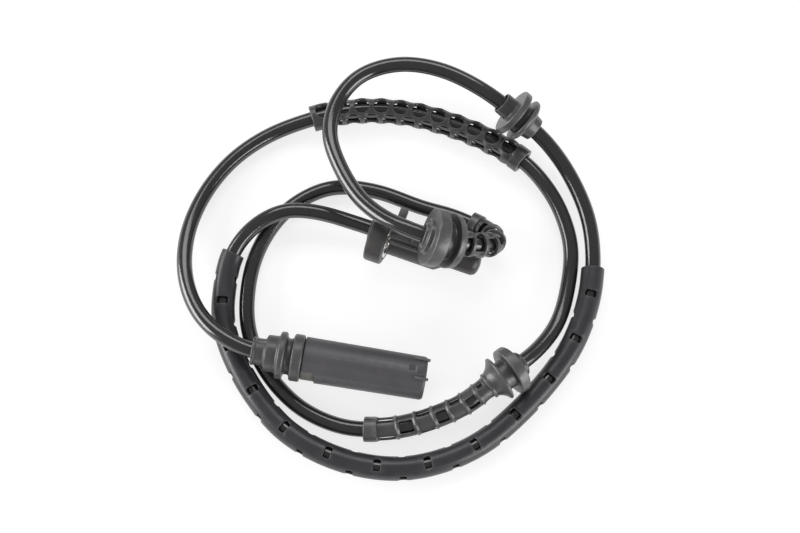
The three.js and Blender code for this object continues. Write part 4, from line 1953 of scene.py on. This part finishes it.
        edge = ((0.0, 1.1), (0.12, 0.5), (0.45, 0.12), (0.9, 0.0))
        hole_edge = ((0.3, 0.0), (0.0, 0.3))
        loops = [loop(back + depth, (r - inset for r in reach)) for depth, inset in edge]
        loops += [loop(front - depth, (r - inset for r in reach)) for depth, inset in edge[::-1]]
        loops += [loop(front - depth, [hole + wider] * len(turns)) for depth, wider in hole_edge[::-1]]
        loops += [loop(back + depth, [hole + wider] * len(turns)) for depth, wider in hole_edge]
        for one, other in zip(loops, [*loops[1:], loops[0]]):
            draft.bridge(one, other)
        return draft.make("ear", [HEAD_NYLON])

    def _bush(self) -> None:
        """Builds the steel bush, a little longer than the ear, with a chamfered bore."""
        back, front = self.ear_span[0] - 0.2, self.ear_span[1] + 0.2
        r, bore = self.bush_radius - self.bush_gap, self.bush_bore
        profile = [
            (back, bore + 0.4),
            (back, r),
            (front, r),
            (front, bore + 0.4),
            (front - 0.4, bore),
            (back + 0.4, bore),
        ]
        piece = turned("mounting_bush", [BUSH_STEEL], rounded(profile, 0.22), self.ear_axes.ahead, 72)
        self.seat(piece, BUSH_STEEL, "ear_bush")


@dataclass
class InnerParts:
    """Pieces inside the head and the connector, which stay as the part has them."""

    pieces: list[bpy.types.Object] = field(default_factory=list)
    finishes: dict[str, Finish] = field(
        default_factory=lambda: {
            "entry_plug": DARK_RESIN,
            "sensor_carrier": DARK_RESIN,
            "hall_element": CHIP_BLACK,
            "bias_magnet": MAGNET_GREY,
            "lead_terminal_a": TINNED_COPPER,
            "lead_terminal_b": TINNED_COPPER,
            "head_core_a": CORE_IVORY,
            "head_core_b": CORE_BROWN,
            "wire_seal_a": SEAL_SILICONE,
            "wire_seal_b": SEAL_SILICONE,
            "plug_core_a": CORE_IVORY,
            "plug_core_b": CORE_BROWN,
        }
    )

    def dress(self) -> None:
        """Gives each inner node its finish."""
        for name, finish in self.finishes.items():
            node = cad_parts[name]
            if not node.material_slots:
                node.data.materials.append(None)
            for slot in node.material_slots:
                slot.link = "OBJECT"
                slot.material = finish.material()
            self.pieces.append(node)


# The studio


@dataclass(frozen=True)
class SoftBox:
    """A rectangular lamp that faces the object, in metres and watts."""

    name: str
    location: tuple[float, float, float]
    size: tuple[float, float]
    power: float

    def build(self) -> None:
        """Hangs the lamp."""
        data = bpy.data.lights.new(self.name, "AREA")
        data.shape = "RECTANGLE"
        data.size, data.size_y = self.size
        data.energy = self.power
        light = stand(self.name, data)
        light.location = self.location
        light.rotation_euler = (-Vector(self.location)).to_track_quat("-Z", "Y").to_euler()


@dataclass
class Studio:
    """Camera, soft light and pale floor, none of which belongs to the object."""

    lens: float = 56.25
    sensor: float = 36.0
    location: tuple[float, float, float] = (0.04074, -0.13634, 0.42702)
    target: tuple[float, float, float] = (-0.00671, -0.00596, 0.0)
    world_level: float = 0.27
    floor_level: float = 0.75
    floor_half: float = 3.0
    floor_gap: float = 0.0002
    floor_lit: tuple[float, float, float, float] = (0.9, 0.89, 0.86, 1)
    floor_seen: tuple[float, float, float, float] = (0.4, 0.4, 0.4, 1)
    boxes: tuple[SoftBox, ...] = (
        SoftBox("top_box", (-0.25, 0.75, 0.95), (1.1, 0.5), 4.8),
        SoftBox("left_box", (-0.95, -0.35, 0.3), (0.9, 0.5), 10.0),
        SoftBox("right_box", (0.95, -0.3, 0.3), (0.9, 0.5), 7.0),
    )

    def camera(self) -> None:
        """Sets the camera at the photograph's viewing angle."""
        data = bpy.data.cameras.new("camera")
        data.lens = self.lens
        data.sensor_width = self.sensor
        data.clip_start, data.clip_end = 0.01, 20.0
        camera = stand("camera", data)
        camera.location = self.location
        aim = Vector(self.target) - Vector(self.location)
        camera.rotation_euler = aim.to_track_quat("-Z", "Y").to_euler()
        bpy.context.scene.camera = camera

    def light(self) -> None:
        """Adds the soft boxes and the even surroundings."""
        for box in self.boxes:
            box.build()
        world = bpy.data.worlds.new("surroundings")
        world.use_nodes = True
        even = {"Color": (1.0, 1.0, 1.0, 1), "Strength": self.world_level}
        fill(world.node_tree, world.node_tree.nodes["Background"], even)
        bpy.context.scene.world = world

    def _floor_finish(self) -> bpy.types.Material:
        """Makes the floor's material: white to the camera and in reflections, matt to the lamps.

        Returns:
            The material.
        """
        material = bpy.data.materials.new("pale_floor")
        material.use_nodes = True
        tree = material.node_tree
        path = add_node(tree, "LightPath", {})
        seen = path.outputs["Is Camera Ray"]
        for kind in ("Is Glossy Ray", "Is Transmission Ray"):
            pair = {0: seen, 1: path.outputs[kind]}
            seen = add_node(tree, "Math", pair, operation="MAXIMUM").outputs["Value"]
        colours = {"Factor": seen, "A": self.floor_lit, "B": self.floor_seen}
        tint = add_node(tree, "Mix", colours, data_type="RGBA")
        glow = add_node(tree, "Math", {0: seen, 1: self.floor_level}, operation="MULTIPLY")
        surface = {
            "Roughness": 0.9,
            "Specular IOR Level": 0.1,
            "Base Color": tint.outputs["Result"],
            "Emission Color": (1.0, 1.0, 1.0, 1),
            "Emission Strength": glow.outputs["Value"],
        }
        fill(tree, tree.nodes["Principled BSDF"], surface)
        return material

    def floor(self) -> None:
        """Lays the pale floor, white where the camera sees it directly."""
        work = bmesh.new()
        bmesh.ops.create_grid(work, x_segments=8, y_segments=8, size=self.floor_half)
        mesh = bpy.data.meshes.new("floor")
        work.to_mesh(mesh)
        work.free()
        mesh.materials.append(self._floor_finish())
        floor = stand("floor", mesh)
        floor.location = (0, 0, -self.floor_gap)
        floor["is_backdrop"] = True


def corners() -> list[list[float]]:
    """Both corners of the shown object as plain numbers."""
    return [[round(c, 6) for c in corner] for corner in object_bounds()]


def report(assembly: SubAssembly | InnerParts) -> None:
    """Reports each piece of a sub-assembly."""
    for piece in assembly.pieces:
        LOG.info("%s: %s", type(assembly).__name__, piece.name)


def main() -> None:
    """Builds the studio and the object."""
    logging.basicConfig(level=logging.INFO, format="%(name)s: %(message)s")
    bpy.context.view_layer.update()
    bpy.context.scene.view_settings.view_transform = "Standard"
    studio = Studio()
    studio.camera()
    route = Route(ROUTE)
    cable = Cable(route)
    cable.build()
    report(cable)
    studio.light()
    studio.floor()
    carried: list[bpy.types.Object] = []
    for assembly in (LongSleeve, NetGuard, LadderGrommet, CurledGrommet, PlainGrommet, Connector):
        made = assembly(route)
        made.build()
        report(made)
        carried.extend(made.pieces)
    head = Head(route)
    head.build()
    report(head)
    inner = InnerParts()
    inner.dress()
    report(inner)
    cable.declare(carried)
    bpy.context.view_layer.update()


if __name__ == "__main__":
    main()
